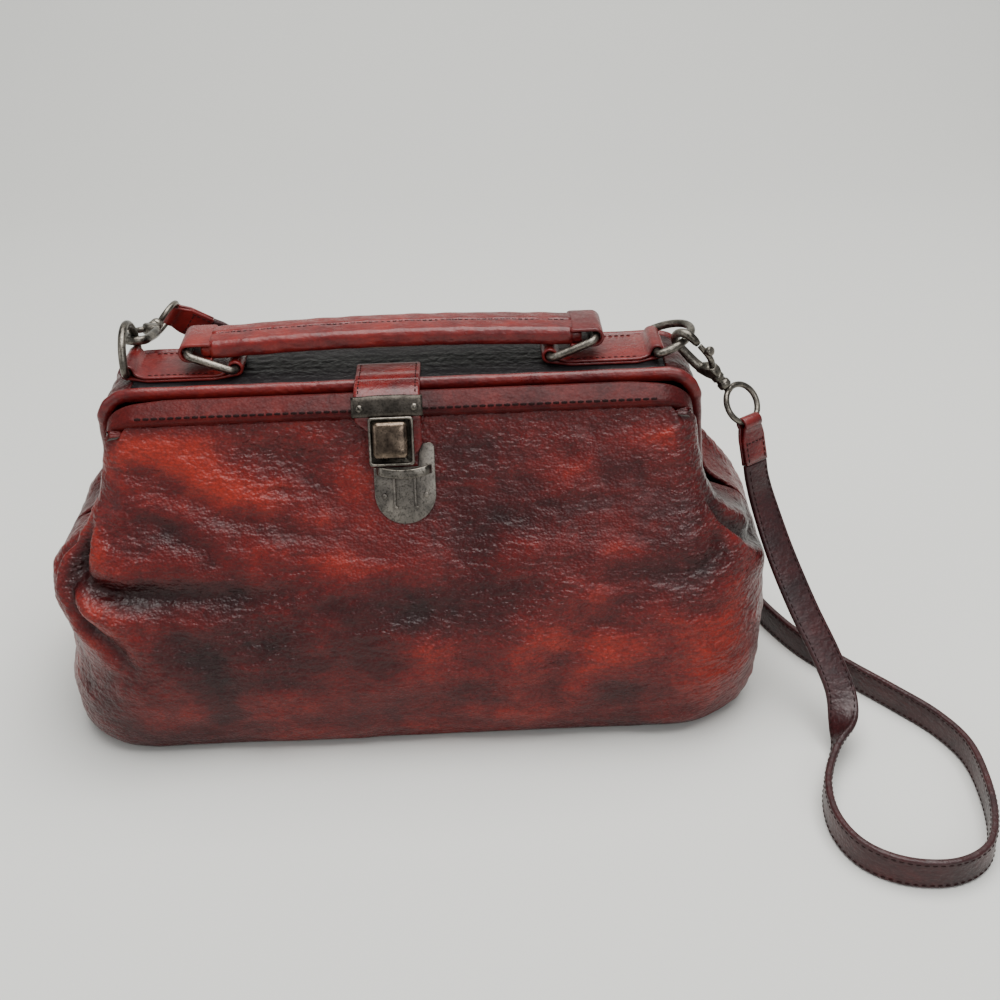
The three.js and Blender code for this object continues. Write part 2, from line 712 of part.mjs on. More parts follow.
const CLIPS = {
  left: {
    at: onDRing(-1, 16),
    down: vector(0.15, 0.97, -0.15),
    wire: vector(0, -0.24, 0.97),
    across: vector(0.55, 0, 0.8),
    fall: vector(0.8, 0.2, -0.55),
  },
  right: {
    at: onDRing(1, 135),
    down: vector(0.66, -0.13, -0.74),
    wire: vector(-0.69, -0.68, -0.25),
    across: vector(0.8, 0.6, 0),
    fall: vector(0.15, -0.2, -0.97),
  },
};

// A group with local x along one direction, and local z along another made square to it.
function frameAt(position, direction, side) {
  const x = direction.clone().normalize();
  const z = side.clone().addScaledVector(x, -side.dot(x)).normalize();
  const group = new THREE.Group();
  group.position.copy(position);
  group.quaternion.setFromRotationMatrix(new THREE.Matrix4().makeBasis(x, z.clone().cross(x), z));
  group.updateMatrix();
  bag.add(group);
  return group;
}

// The clip's own origin is the middle of its hook's bend, in which the D-ring's wire rests.
function clipOrigin(clip) {
  const rest = HOOK.bend - HOOK.wire - BAR_RADIUS - 3 * GAP;
  return clip.at.clone().addScaledVector(clip.down.clone().normalize(), rest);
}

function makeHook(side, clip) {
  const frame = frameAt(clipOrigin(clip), clip.down, clip.wire);
  const { bend, wire, neck, barrel, barrelRadius } = HOOK;
  const path = [vector(4, bend, 0)];
  for (let i = 0; i <= 8; i++) {
    const turn = Math.PI / 2 + (i / 8) * Math.PI;
    path.push(vector(bend * Math.cos(turn), bend * Math.sin(turn), 0));
  }
  path.push(vector(neck - 8, -bend, 0), vector(neck - 3, -bend + 2.2, 0), vector(neck + 1, -1.4, 0));
  const body = toSolid(sweep(path, Z_AXIS, circle(wire)))
    .add(toSolid(rod(vector(neck, 0, 0), vector(neck + barrel, 0, 0), barrelRadius, 12)))
    .add(toSolid(block(vector(neck - 4, -2, -wire), vector(neck + 1, 3.4, wire))));
  piece(`snap_hook_${side}`, toGeometry(body), "hardware", frame);
  const gatePath = [
    vector(5.1, bend - 0.4, 0),
    vector(5.3, bend + 0.6, 0),
    vector(neck - 9, bend - 0.8, 0),
    vector(neck - 5.2, 2.7, 0),
  ];
  const gate = sweep(gatePath, Z_AXIS, circle(1.5));
  const thumb = rod(vector(9, bend, 0), vector(10.5, bend + 5, 0), 1.7, 8);
  const clear = toSolid(block(vector(-20, -20, -9), vector(4.9, 20, 9)));
  const lever = toSolid(gate).add(toSolid(thumb)).subtract(clear);
  piece(`hook_gate_${side}`, toGeometry(lever), "hardware", frame);
}

// The ring that swivels in the hook's barrel.
function makeSwivelRing(side, clip) {
  const frame = frameAt(clipOrigin(clip), clip.down, clip.across);
  const start = HOOK.neck + HOOK.barrel + GAP;
  const centre = start + EYE.wire + EYE.radius;
  const ring = [];
  for (let i = 0; i < 20; i++) {
    const turn = (i / 20) * 2 * Math.PI;
    ring.push(vector(centre - EYE.radius * Math.cos(turn), 0, EYE.radius * Math.sin(turn)));
  }
  const post = toSolid(rod(vector(start, 0, 0), vector(start + 1.8, 0, 0), 2.4, 10));
  const eye = toSolid(sweep(ring, Y_AXIS, circle(EYE.wire), true)).add(post);
  piece(`swivel_ring_${side}`, toGeometry(eye), "hardware", frame);
  const room = sweep(ring, Y_AXIS, circle(EYE.wire + 0.4), true).applyMatrix4(frame.matrix);
  const fall = clip.fall.clone().transformDirection(frame.matrix.clone().invert());
  const low = Math.atan2(fall.z, fall.x);
  const at = vector(centre + EYE.radius * Math.cos(low), 0, EYE.radius * Math.sin(low));
  const tangent = vector(-Math.sin(low), 0, Math.cos(low));
  return { at: at.applyMatrix4(frame.matrix), tangent: tangent.transformDirection(frame.matrix), room };
}

// The folded end of the strap, round the ring where the ring's wire lies square to its fall.
function makeStrapEnd(side, clip, ring) {
  const frame = frameAt(ring.at, clip.fall, ring.tangent);
  const bore = EYE.wire + 0.5;
  const loop = bore + 1.9;
  const tail = 22;
  const half = STRAP.thick / 2 + 0.4;
  const grip = Math.asin(half / loop);
  const fold = new THREE.Shape();
  fold.moveTo(tail, -half);
  fold.lineTo(tail, half);
  fold.absarc(0, 0, loop, grip, 2 * Math.PI - grip, false);
  holeIn(fold, 0, 0, bore);
  const loopWidth = 12;
  const options = { depth: loopWidth, bevelEnabled: false, curveSegments: 10 };
  const curl = new THREE.ExtrudeGeometry(fold, options);
  const wide = block(vector(8, -half, -STRAP.width / 2), vector(tail, half, STRAP.width / 2));
  const room = toSolid(ring.room.applyMatrix4(frame.matrix.clone().invert()));
  const end = toSolid(curl.translate(0, 0, -loopWidth / 2)).add(toSolid(wide)).subtract(room);
  piece(`strap_end_${side}`, toGeometry(end), "strap_leather", frame);
  return {
    exit: vector(tail + 2 * GAP, 0, 0).applyMatrix4(frame.matrix),
    along: vector(1, 0, 0).transformDirection(frame.matrix),
    across: vector(0, 0, 1).transformDirection(frame.matrix),
  };
}

// The strap's middle line. On the surface it stands on its edge, half its width high.
const ON_EDGE = STRAP.width / 2 + 0.2;
const RIGHT_ROUTE = [
  [190, -32, 112],
  [198, -45, 88],
  [209, -59, 62],
  [220, -73, 40],
  [226, -87, 24],
  [223, -104, 14],
  [214, -122, 9.5],
  [206, -145, ON_EDGE],
  [205, -169, ON_EDGE],
  [213, -189, ON_EDGE],
  [230, -201, ON_EDGE],
  [252, -203, ON_EDGE],
  [270, -193, ON_EDGE],
  [280, -172, ON_EDGE],
  [285, -144, ON_EDGE],
  [285, -117, ON_EDGE],
  [276, -93, ON_EDGE],
  [260, -70, ON_EDGE],
  [241, -45, ON_EDGE],
  [221, -16, ON_EDGE],
  [206, 19, ON_EDGE],
  [197, 56, ON_EDGE],
  [176, 92, ON_EDGE],
  [138, 110, ON_EDGE],
  [96, 114, ON_EDGE],
  [60, 115, ON_EDGE],
];
const LEFT_ROUTE = [
  [-97, 79, 164],
  [-90, 82.5, 146],
  [-86.5, 86, 124],
  [-85, 89, 98],
  [-84, 91.5, 72],
  [-82, 94, 48],
  [-77, 98, 29],
  [-67, 104, 16],
  [-52, 110, 9.5],
  [-30, 114, ON_EDGE],
  [15, 115, ON_EDGE],
  [59.4, 115, ON_EDGE],
];

// The strap turns about its length: from the direction across its clip to the one in which it
// hangs, and then upright onto its edge.
function makeStrap(name, end, route, hangs, steps) {
  const first = end.exit.clone().addScaledVector(end.along, 9);
  const points = [end.exit, first, ...route.map((p) => vector(...p))];
  const upright = points.findIndex((p) => p.z <= ON_EDGE);
  const curve = new THREE.CatmullRomCurve3(points, false, "catmullrom", 0.5);
  const line = [];
  const sides = [];
  for (let i = 0; i <= steps; i++) {
    const place = (i / steps) * (points.length - 1);
    const hanging = THREE.MathUtils.smoothstep(place, 1, 4);
    const standing = THREE.MathUtils.smoothstep(place, upright - 4, upright);
    line.push(curve.getPoint(i / steps));
    sides.push(end.across.clone().lerp(hangs, hanging).normalize().lerp(Z_AXIS, standing));
  }
  const half = STRAP.width / 2;
  const edge = STRAP.thick / 2;
  const section = [
    [-half, 1 - edge],
    [1 - half, -edge],
    [half - 1, -edge],
    [half, 1 - edge],
    [half, edge - 1],
    [half - 1, edge],
    [1 - half, edge],
    [-half, edge - 1],
  ];
  piece(name, sweep(line, sides, section), "strap_leather");
}

// ---------- assembly ----------

makeTub();
makeInside();
makeYoke("front_yoke", FRONT_YOKE_LEVELS, [
  [-12, 110],
  [-39.5, 180],
  [-120, 180],
  [-120, 110],
]);
makeYoke("rear_yoke", REAR_YOKE_LEVELS, [
  [12, 110],
  [120, 110],
  [120, 190],
  [33.5, 190],
]);
makeFrontFrame();
makeLid();
makeHingePins();
makeBaseStrap("base_strap_left", -1);
makeBaseStrap("base_strap_right", 1);
makeRing("d_ring_left", dRingPath(), -BASE_STRAP.outer, LOOP_Z, D_RING_LEAN.left);
makeRing("d_ring_right", dRingPath(), BASE_STRAP.outer, LOOP_Z, D_RING_LEAN.right);
makeRing("handle_ring_left", handleRingPath(), -BASE_STRAP.inner, LOOP_Z, 180 - HANDLE_RING.lean);
makeRing("handle_ring_right", handleRingPath(), BASE_STRAP.inner, LOOP_Z, HANDLE_RING.lean);
makeHandle();
makeTab();
makeHasp();
makeLock();
const strapEnds = {};
for (const [side, clip] of Object.entries(CLIPS)) {
  makeHook(side, clip);
  strapEnds[side] = makeStrapEnd(side, clip, makeSwivelRing(side, clip));
}
makeStrap("shoulder_strap_right", strapEnds.right, RIGHT_ROUTE, vector(0.9, 0.3, 0.15), 60);
makeStrap("shoulder_strap_left", strapEnds.left, LEFT_ROUTE, X_AXIS, 30);

export default bag;
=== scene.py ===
# A framed leather doctor bag with a shoulder strap. Blender works in metres; the shapes below are drawn in
# millimetres in the same frame: +X along the bag, -Y towards its latch side, +Z up.
import math

import bmesh
import bpy
import numpy as np
from mathutils import Matrix, Vector, noise


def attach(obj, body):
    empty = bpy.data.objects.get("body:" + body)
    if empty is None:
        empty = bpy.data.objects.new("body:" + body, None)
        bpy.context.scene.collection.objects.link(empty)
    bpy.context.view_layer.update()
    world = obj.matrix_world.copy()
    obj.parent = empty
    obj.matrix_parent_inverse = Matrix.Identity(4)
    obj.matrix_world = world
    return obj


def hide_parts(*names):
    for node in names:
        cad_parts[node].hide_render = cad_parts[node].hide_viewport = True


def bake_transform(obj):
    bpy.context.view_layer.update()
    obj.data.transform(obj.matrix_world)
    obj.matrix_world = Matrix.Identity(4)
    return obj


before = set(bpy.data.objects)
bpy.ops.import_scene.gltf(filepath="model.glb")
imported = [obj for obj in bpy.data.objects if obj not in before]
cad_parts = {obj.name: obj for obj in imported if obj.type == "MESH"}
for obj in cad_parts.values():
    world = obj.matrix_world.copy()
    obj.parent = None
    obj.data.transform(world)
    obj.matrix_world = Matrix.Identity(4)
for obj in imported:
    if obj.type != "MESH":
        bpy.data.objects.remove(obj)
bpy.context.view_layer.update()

MM = 0.001
X_AXIS = Vector((1, 0, 0))
Y_AXIS = Vector((0, 1, 0))
Z_AXIS = Vector((0, 0, 1))


# ---------- driving dimensions, as the frame has them ----------

HINGE_Z = 119
LOOP_Z = 193.5
FITTINGS_X = -3
BAR_RADIUS = 2.1
BASE_STRAP = {"outer": 136.5, "inner": 81, "width": 34, "loop_width": 27, "layer": 1.5}
D_RING = {"half_width": 17, "shoulder": 2, "height": 18.5}
D_RING_LEAN = {"left": 92, "right": 20}
HANDLE_RING = {"half_width": 17, "reach": 25, "lean": 22, "corner": 3.4}
HANDLE = {"half_length": 108.6, "width": 26, "thick": 9.4, "wrap": 15.5}
STRAP = {"width": 16, "thick": 3.5}
HOOK = {"bend": 6.2, "neck": 24, "barrel": 9}
EYE = {"radius": 10.4, "wire": 1.6}
TAB_X = -5.5
TONGUE_X = -2
HASP_X = -4
LOCK_X = 1.5

# The lower bag and the walls above the fold: height, half length, half depth and corner radius.
TUB_LEVELS = [
    (0, 173, 74, 40), (4, 181, 79, 44), (15, 187, 84.5, 50), (40, 191, 88, 55), (66, 192, 86, 56),
    (88, 190, 80.5, 50), (104, 182, 75, 40),
]
FRONT_LEVELS = TUB_LEVELS + [
    (117, 169, 69.5, 30), (132, 158.5, 61.5, 20), (148, 153, 54.6, 15), (160, 151, 49.8, 13), (172, 149, 45.4, 12),
    (178, 145.2, 43.4, 12),
]
REAR_LEVELS = TUB_LEVELS + [
    (117, 170.5, 69.5, 30), (132, 162, 61, 22), (160, 156, 45.5, 14), (181, 152, 31.5, 10), (186, 150, 27.5, 9),
]


def point(*values):
    return Vector(values)


def mix(a, b, part):
    return a + (b - a) * part


def smooth(value, low, high):
    part = min(max((value - low) / (high - low), 0.0), 1.0)
    return part * part * (3 - 2 * part)


# ---------- camera ----------

CAMERA_PLACE = (0.0382, -0.6799, 0.4796)
CAMERA_PITCH, CAMERA_YAW, CAMERA_ROLL = (math.radians(angle) for angle in (29, -1, 1.9))


def link(name, data):
    """An object of a mesh, a light or a camera, put into the scene."""
    obj = bpy.data.objects.new(name, data)
    bpy.context.scene.collection.objects.link(obj)
    return obj


def make_camera():
    data = bpy.data.cameras.new("camera")
    data.lens = 50.4
    data.sensor_width = 36
    camera = link("camera", data)
    turn = Matrix.Rotation(CAMERA_YAW, 4, "Z") @ Matrix.Rotation(math.pi / 2 - CAMERA_PITCH, 4, "X")
    turn = turn @ Matrix.Rotation(-CAMERA_ROLL, 4, "Z")
    camera.matrix_world = Matrix.Translation(CAMERA_PLACE) @ turn
    bpy.context.scene.camera = camera


make_camera()


# ---------- mesh helpers ----------

def piece(name, shape, material, body=None, replaces=()):
    """A mesh object from a shape's points, in millimetres, and faces. It rides on a body when one is given."""
    verts, faces = shape
    mesh = bpy.data.meshes.new(name)
    mesh.from_pydata([(v[0] * MM, v[1] * MM, v[2] * MM) for v in verts], [], faces)
    work = bmesh.new()
    work.from_mesh(mesh)
    bmesh.ops.recalc_face_normals(work, faces=work.faces)
    work.to_mesh(mesh)
    work.free()
    mesh.polygons.foreach_set("use_smooth", [True] * len(mesh.polygons))
    mesh.materials.append(material)
    obj = link(name, mesh)
    if replaces:
        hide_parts(*replaces)
    if body:
        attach(obj, body)
    return obj


def join(*parts):
    """Several (verts, faces) as one."""
    verts, faces = [], []
    for part_verts, part_faces in parts:
        start = len(verts)
        verts += list(part_verts)
        faces += [tuple(i + start for i in face) for face in part_faces]
    return verts, faces


def moved(part, matrix):
    return [matrix @ Vector(v) for v in part[0]], part[1]


def grid_faces(rows, columns, closed=False):
    faces = []
    for i in range(rows - 1):
        for j in range(columns if closed else columns - 1):
            k = (j + 1) % columns
            faces.append((i * columns + j, i * columns + k, (i + 1) * columns + k, (i + 1) * columns + j))
    return faces


def grid_shape(grid):
    """A sheet's points and faces from an array of rows of points."""
    return grid.reshape(-1, 3), grid_faces(*grid.shape[:2])


def loft(rings, closed_row=False):
    """Rings of equal length skinned into one body, which is capped unless its row closes on itself."""
    count = len(rings[0])
    verts = [v for ring in rings for v in ring]
    faces = grid_faces(len(rings), count, closed=True)
    if closed_row:
        last = (len(rings) - 1) * count
        faces += [(last + j, last + (j + 1) % count, (j + 1) % count, j) for j in range(count)]
    else:
        faces.append(tuple(range(count)))
        faces.append(tuple(range((len(rings) - 1) * count, len(rings) * count)))
    return verts, faces


def sweep(path, side, section, closed=False):
    """A section swept along a path. Its points are (across, out): across lies along the side direction."""
    n = len(path)
    rings = []
    for i, here in enumerate(path):
        before = path[(i - 1) % n] if closed else path[max(i - 1, 0)]
        after = path[(i + 1) % n] if closed else path[min(i + 1, n - 1)]
        along = (after - before).normalized()
        across = side[i] if isinstance(side, list) else side
        across = (across - along * across.dot(along)).normalized()
        out = along.cross(across)
        outline = section(i) if callable(section) else section
        rings.append([here + across * a + out * b for a, b in outline])
    return loft(rings, closed_row=closed)


def around(sides):
    """Equal steps of one full turn."""
    return np.linspace(0, 2 * math.pi, sides, endpoint=False)


def ring_section(radius, sides):
    return [(radius * math.cos(t), radius * math.sin(t)) for t in around(sides)]


def strip_section(half_width, half_thick, corner, steps=3):
    """A flat strip's outline with rounded edges."""
    outline = []
    for sx, sy, start in ((1, 1, 0), (-1, 1, 90), (-1, -1, 180), (1, -1, 270)):
        for i in range(steps + 1):
            turn = math.radians(start + 90 * i / steps)
            x = sx * (half_width - corner) + corner * math.cos(turn)
            outline.append((x, sy * (half_thick - corner) + corner * math.sin(turn)))
    return outline


def tube(path, radius, side, sides):
    """A round rod along a path, drawn in at both ends to a dome."""
    domes = []
    for end, before in ((path[0], path[1]), (path[-1], path[-2])):
        outward = (end - before).normalized()
        domes.append([(end + outward * radius * (math.sin(a) - 1), radius * math.cos(a))
                      for a in np.radians((80, 60, 35, 0))])
    clear = 1.2 * radius
    middle = [(p, radius) for p in path[1:-1] if min((p - path[0]).length, (p - path[-1]).length) > clear]
    rod = domes[0] + middle + domes[1][::-1]
    return sweep([p for p, _ in rod], side, lambda i: ring_section(rod[i][1], sides))


def lathe(profile, sides):
    """A body of revolution round local X, from (x, radius) pairs."""
    rings = []
    for x, radius in profile:
        radius = max(radius, 0.02)
        rings.append([point(x, radius * math.cos(t), radius * math.sin(t)) for t in around(sides)])
    return loft(rings)


def rect_ring(half_x, half_z, corner, y, centre):
    """A rounded rectangle in the local XZ plane at one depth."""
    return [point(centre[0] + a, y, centre[1] + b) for a, b in strip_section(half_x, half_z, corner, 4)]


def spline(points, steps):
    """Catmull-Rom points through a route, evenly spaced in its parameter."""
    points = [Vector(p) for p in points]
    padded = [2 * points[0] - points[1]] + points + [2 * points[-1] - points[-2]]
    result = []
    for i in range(steps + 1):
        place = i / steps * (len(points) - 1)
        k = min(int(place), len(points) - 2)
        t = place - k
        a, b, c, d = padded[k:k + 4]
        curve = 2 * b + (c - a) * t + (2 * a - 5 * b + 4 * c - d) * t ** 2 + (3 * b - a - 3 * c + d) * t ** 3
        result.append(curve * 0.5)
    return result


def lengths(path):
    total = [0.0]
    for a, b in zip(path, path[1:]):
        total.append(total[-1] + (b - a).length)
    return total


def along(path, spacing, start=0.0, end=0.0):
    """Points and directions every so many millimetres of a path."""
    total = lengths(path)
    result = []
    place = start + spacing / 2
    i = 0
    while place < total[-1] - end:
        while total[i + 1] < place:
            i += 1
        part = (place - total[i]) / (total[i + 1] - total[i])
        result.append((path[i].lerp(path[i + 1], part), (path[i + 1] - path[i]).normalized(), i + part))
        place += spacing
    return result


def stitch(centre, direction, normal, length, radius):
    """One stitch: a short thread that dips into the leather at both ends."""
    shape = [(-0.5, -1.1, 0.5), (-0.38, -0.1, 0.9), (0.0, 0.35, 1.0), (0.38, -0.1, 0.9), (0.5, -1.1, 0.5)]
    path = [centre + direction * length * a + normal * radius * b for a, b, _ in shape]
    sizes = [radius * c for _, _, c in shape]
    return sweep(path, direction.cross(normal), lambda i: ring_section(sizes[i], 6))


def seam(path, spacing, out, length, radius, start=0.0, end=0.0):
    """A row of stitches along a path; out is the way they stand from the leather."""
    return [stitch(centre, direction, out, length, radius)
            for centre, direction, _ in along(path, spacing, start, end)]


def outline_plate(outline, low, high, bevel):
    """A flat plate from an outline in (x, z), between two depths along Y, with rounded edges."""
    work = bmesh.new()
    face = work.faces.new([work.verts.new((x, low, z)) for x, z in outline])
    top = bmesh.ops.extrude_face_region(work, geom=[face])["geom"]
    raised = [part for part in top if isinstance(part, bmesh.types.BMVert)]
    bmesh.ops.translate(work, vec=(0, high - low, 0), verts=raised)
    bmesh.ops.recalc_face_normals(work, faces=work.faces)
    sharp = [e for e in work.edges if len(e.link_faces) == 2 and e.calc_face_angle() > 0.9]
    bmesh.ops.bevel(work, geom=sharp, offset=bevel, segments=2, profile=0.5, affect="EDGES")
    verts = [v.co.copy() for v in work.verts]
    work.verts.index_update()
    faces = [tuple(v.index for v in f.verts) for f in work.faces]
    work.free()
    return verts, faces


# ---------- materials ----------

class Nodes:
    """A material's node tree, with short names for what is repeated. Textures lie in object space, in metres."""

    def __init__(self, name):
        self.material = bpy.data.materials.new(name)
        self.material.use_nodes = True
        self.tree = self.material.node_tree
        self.shader = self.tree.nodes["Principled BSDF"]
        self.place = self.new("ShaderNodeTexCoord").outputs["Object"]

    def new(self, kind, **values):
        node = self.tree.nodes.new(kind)
        for key, value in values.items():
            setattr(node, key, value)
        return node

    def feed(self, node, **inputs):
        for key, value in inputs.items():
            socket = node.inputs[int(key[1:])] if key[0] == "_" else node.inputs[key.replace("_", " ")]
            if isinstance(value, bpy.types.NodeSocket):
                self.tree.links.new(value, socket)
            else:
                socket.default_value = value
        return node

    def stretched(self, scale, turn=(0, 0, 0)):
        node = self.new("ShaderNodeMapping")
        return self.feed(node, Vector=self.place, Scale=scale, Rotation=turn).outputs[0]

    def noise(self, scale, detail=4.0, roughness=0.55, distortion=0.0, vector=None):
        node = self.feed(self.new("ShaderNodeTexNoise"), Vector=vector or self.place, Scale=scale, Detail=detail,
                         Roughness=roughness, Distortion=distortion)
        return node.outputs["Fac"]

    def cells(self, scale, vector, feature="F1", **values):
        node = self.new("ShaderNodeTexVoronoi", feature=feature)
        return self.feed(node, Vector=vector, Scale=scale, **values).outputs["Distance"]

    def ramp(self, value, *stops):
        node = self.new("ShaderNodeValToRGB")
        elements = node.color_ramp.elements
        while len(elements) < len(stops):
            elements.new(0.5)
        for element, (position, colour) in zip(elements, stops):
            element.position = position
            element.color = (*colour, 1) if isinstance(colour, tuple) else (colour, colour, colour, 1)
        return self.feed(node, Fac=value).outputs["Color"]

    def math(self, operation, a, b=0.0, clamp=False):
        node = self.new("ShaderNodeMath", operation=operation, use_clamp=clamp)
        return self.feed(node, _0=a, _1=b).outputs[0]

    def weighted(self, *terms):
        """The sum of some values, each times its weight."""
        scaled = [self.math("MULTIPLY", value, weight) for value, weight in terms]
        total = scaled[0]
        for value in scaled[1:]:
            total = self.math("ADD", total, value)
        return total

    def blend(self, factor, below, above):
        """One colour laid over another, as far as the factor says."""
        node = self.new("ShaderNodeMix", data_type="RGBA")
        return self.feed(node, Factor=factor, _6=below, _7=(*above, 1)).outputs[2]

    def bump(self, height, strength, distance, **under):
        """A bump over another one, which is given as Normal."""
        node = self.new("ShaderNodeBump")
        return self.feed(node, Height=height, Strength=strength, Distance=distance, **under).outputs[0]

    def attribute(self, name):
        return self.new("ShaderNodeAttribute", attribute_name=name).outputs["Fac"]

    def finish(self, **values):
        self.feed(self.shader, **values)
        return self.material


def darker(colour, part):
    return tuple(part * channel for channel in colour)


def leather(name, tones, grain=1.0, wrinkles=1.0, gloss=0.3, blotch=10.0, shine=0.38, painted=False):
    """Hand-dyed leather: marbled tones, fine dark veins, pebble grain and short creases; when painted, also painted
    light and shade from the wall's attributes.
    """
    n = Nodes(name)
    dark, maroon, mid, bright = tones
    large = n.noise(blotch, 5, 0.6, 0.7)
    medium = n.noise(blotch * 4.6, 6, 0.68, 1.0, n.stretched((0.8, 0.8, 1.3)))
    small = n.noise(blotch * 17, 4, 0.7, 1.4)
    marble = [(large, 0.46), (medium, 0.36), (small, 0.18)]
    # The wall's tone attribute: dye blotches, with painted highlights on bulges and painted shade in hollows and
    # across the belly.
    if painted:
        marble.append((n.attribute("tone"), 0.13))
    colour = n.ramp(n.weighted(*marble), (0.33, dark), (0.45, maroon), (0.57, mid), (0.73, bright))
    warp = n.noise(75, 5, 0.7, 2.2, n.stretched((0.7, 0.7, 1.5)))
    veins = n.ramp(n.math("ABSOLUTE", n.math("SUBTRACT", warp, 0.5)), (0.0, 1.0), (0.02, 0.0))
    colour = n.blend(n.math("MULTIPLY", veins, 0.25), colour, darker(dark, 0.5))
    grains = n.cells(620, n.stretched((1, 1, 1.35)))
    speck = n.ramp(grains, (0.3, 0.0), (0.8, 1.0))
    colour = n.blend(n.math("MULTIPLY", speck, 0.3 * grain), colour, dark)
    # Painted shade: the fold attribute darkens the wall's creases and its foot.
    if painted:
        fold = n.math("MULTIPLY", n.attribute("fold"), 0.48, clamp=True)
        colour = n.blend(fold, colour, darker(dark, 0.4))
    rough = n.math("ADD", n.math("MULTIPLY", n.noise(15, 6, 0.7), 0.5), gloss - 0.23)
    rough = n.math("ADD", rough, n.math("MULTIPLY", speck, 0.12))

    # Puckers lie along a warped grid, stronger in some areas than in others.
    shift = n.feed(n.new("ShaderNodeTexNoise"), Vector=n.place, Scale=95, Detail=2).outputs["Color"]
    warped = n.feed(n.new("ShaderNodeVectorMath", operation="MULTIPLY_ADD"), _0=shift, _1=(0.008, 0.008, 0.005),
                    _2=n.stretched((0.62, 0.7, 1.3), (0, 0.2, 0))).outputs[0]
    puckers = n.cells(330, warped, "SMOOTH_F1", Smoothness=0.5)
    soft = n.noise(60, 3, 0.55, 0.8, n.stretched((0.7, 0.7, 1.5)))
    area = n.ramp(n.noise(11, 3, 0.55), (0.38, 0.35), (0.6, 1.0))
    creases = n.math("MULTIPLY", n.weighted((puckers, -0.75), (soft, 0.9)), area)
    relief = n.bump(creases, 0.7 * wrinkles, 0.0026)
    relief = n.bump(n.math("SUBTRACT", 1.0, grains), 0.55 * grain, 0.0006, Normal=relief)
    relief = n.bump(n.noise(2600, 3, 0.6), 0.15, 0.0002, Normal=relief)
    return n.finish(Base_Color=colour, Roughness=rough, Normal=relief, Specular_IOR_Level=shine,
                    Coat_Weight=0.22 * shine, Coat_Roughness=0.2)


def metal(name, dark, light, rough=0.36, scratch=1.0):
    """Antique plated metal: dark in its hollows, worn bright in patches, finely scratched."""
    n = Nodes(name)
    worn = n.noise(130, 5, 0.62, 0.4)
    pits = n.noise(900, 4, 0.7)
    colour = n.ramp(worn, (0.33, dark), (0.66, light))
    colour = n.blend(n.ramp(pits, (0.36, 0.75), (0.5, 0.0)), colour, darker(dark, 0.4))
    scratches = n.bump(n.noise(420, 3, 0.6, 0.0, n.stretched((6, 0.6, 0.6))), 0.12 * scratch, 0.0002)
    return n.finish(Base_Color=colour, Metallic=0.92,
                    Roughness=n.math("ADD", n.math("MULTIPLY", worn, 0.3), rough - 0.15),
                    Normal=n.bump(pits, 0.2 * scratch, 0.0002, Normal=scratches))


def cloth(name, dark, light):
    """Plain woven cotton, its threads crossing at right angles."""
    n = Nodes(name)
    threads = []
    for turn in ((0, 0, 0), (0, math.pi / 2, 0)):
        wave = n.new("ShaderNodeTexWave", wave_type="BANDS", bands_direction="X")
        n.feed(wave, Vector=n.stretched((1, 1, 1), turn), Scale=420, Distortion=0.6, Detail=1)
        threads.append(wave.outputs["Fac"])
    weave = n.math("MULTIPLY", *threads)
    tone = n.math("ADD", n.math("MULTIPLY", weave, 0.5), n.noise(30, 4))
    return n.finish(Base_Color=n.ramp(tone, (0.35, dark), (0.9, light)), Normal=n.bump(weave, 0.4, 0.0003),
                    Roughness=0.92, Sheen_Weight=0.25)


def plain(name, texture, low, high, **values):
    """A matt material in two close tones of one texture, given as how the node tree makes it."""
    n = Nodes(name)
    height = texture(n)
    bump = values.pop("bump", None)
    if bump:
        values["Normal"] = n.bump(height, *bump)
    return n.finish(Base_Color=n.ramp(height, (0.3, low), (0.7, high)), **values)


SKIN = leather("red_leather", ((0.016, 0.0021, 0.0026), (0.048, 0.0042, 0.0048), (0.112, 0.0075, 0.0070),
                               (0.27, 0.019, 0.010)), shine=0.28, painted=True)
TRIM = leather("red_trim_leather", ((0.035, 0.0035, 0.0045), (0.085, 0.006, 0.007), (0.165, 0.011, 0.009),
                                    (0.28, 0.026, 0.016)), grain=0.3, wrinkles=0.22, gloss=0.27, blotch=16)
BAND = leather("smooth_red_leather", ((0.014, 0.0020, 0.0026), (0.040, 0.0040, 0.0045), (0.078, 0.0062, 0.0058),
                                      (0.13, 0.011, 0.008)),
               grain=0.45, wrinkles=0.34, gloss=0.36, blotch=15, shine=0.12)
LID = leather("black_lid_leather", ((0.004, 0.004, 0.005), (0.007, 0.006, 0.007), (0.011, 0.009, 0.010),
                                    (0.02, 0.014, 0.015)), grain=0.4, wrinkles=0.7, gloss=0.42, shine=0.14)
STRAP_SKIN = leather("strap_leather", ((0.010, 0.003, 0.004), (0.020, 0.004, 0.005), (0.038, 0.006, 0.007),
                                       (0.075, 0.012, 0.011)), grain=0.5, wrinkles=0.35, gloss=0.38, blotch=18)
METAL = metal("antique_metal", (0.05, 0.045, 0.038), (0.26, 0.235, 0.20), rough=0.32)
DARK_METAL = metal("dark_clip_metal", (0.030, 0.026, 0.022), (0.085, 0.074, 0.062), rough=0.36)
PLATE_METAL = metal("matt_lock_metal", (0.10, 0.09, 0.08), (0.25, 0.225, 0.195), rough=0.42, scratch=1.6)
DARK_BRASS = metal("dark_brass", (0.05, 0.036, 0.027), (0.2, 0.15, 0.11), rough=0.24)
STEEL = metal("frame_steel", (0.22, 0.22, 0.22), (0.42, 0.42, 0.42), rough=0.4)
LINING = cloth("lining_cotton", (0.02, 0.016, 0.014), (0.07, 0.055, 0.045))
BOARD = plain("fibre_board", lambda n: n.noise(220, 6, 0.7, 0.0, n.stretched((0.25, 2, 2))), (0.16, 0.11, 0.07),
              (0.34, 0.26, 0.17), bump=(0.3, 0.0003), Roughness=0.9)
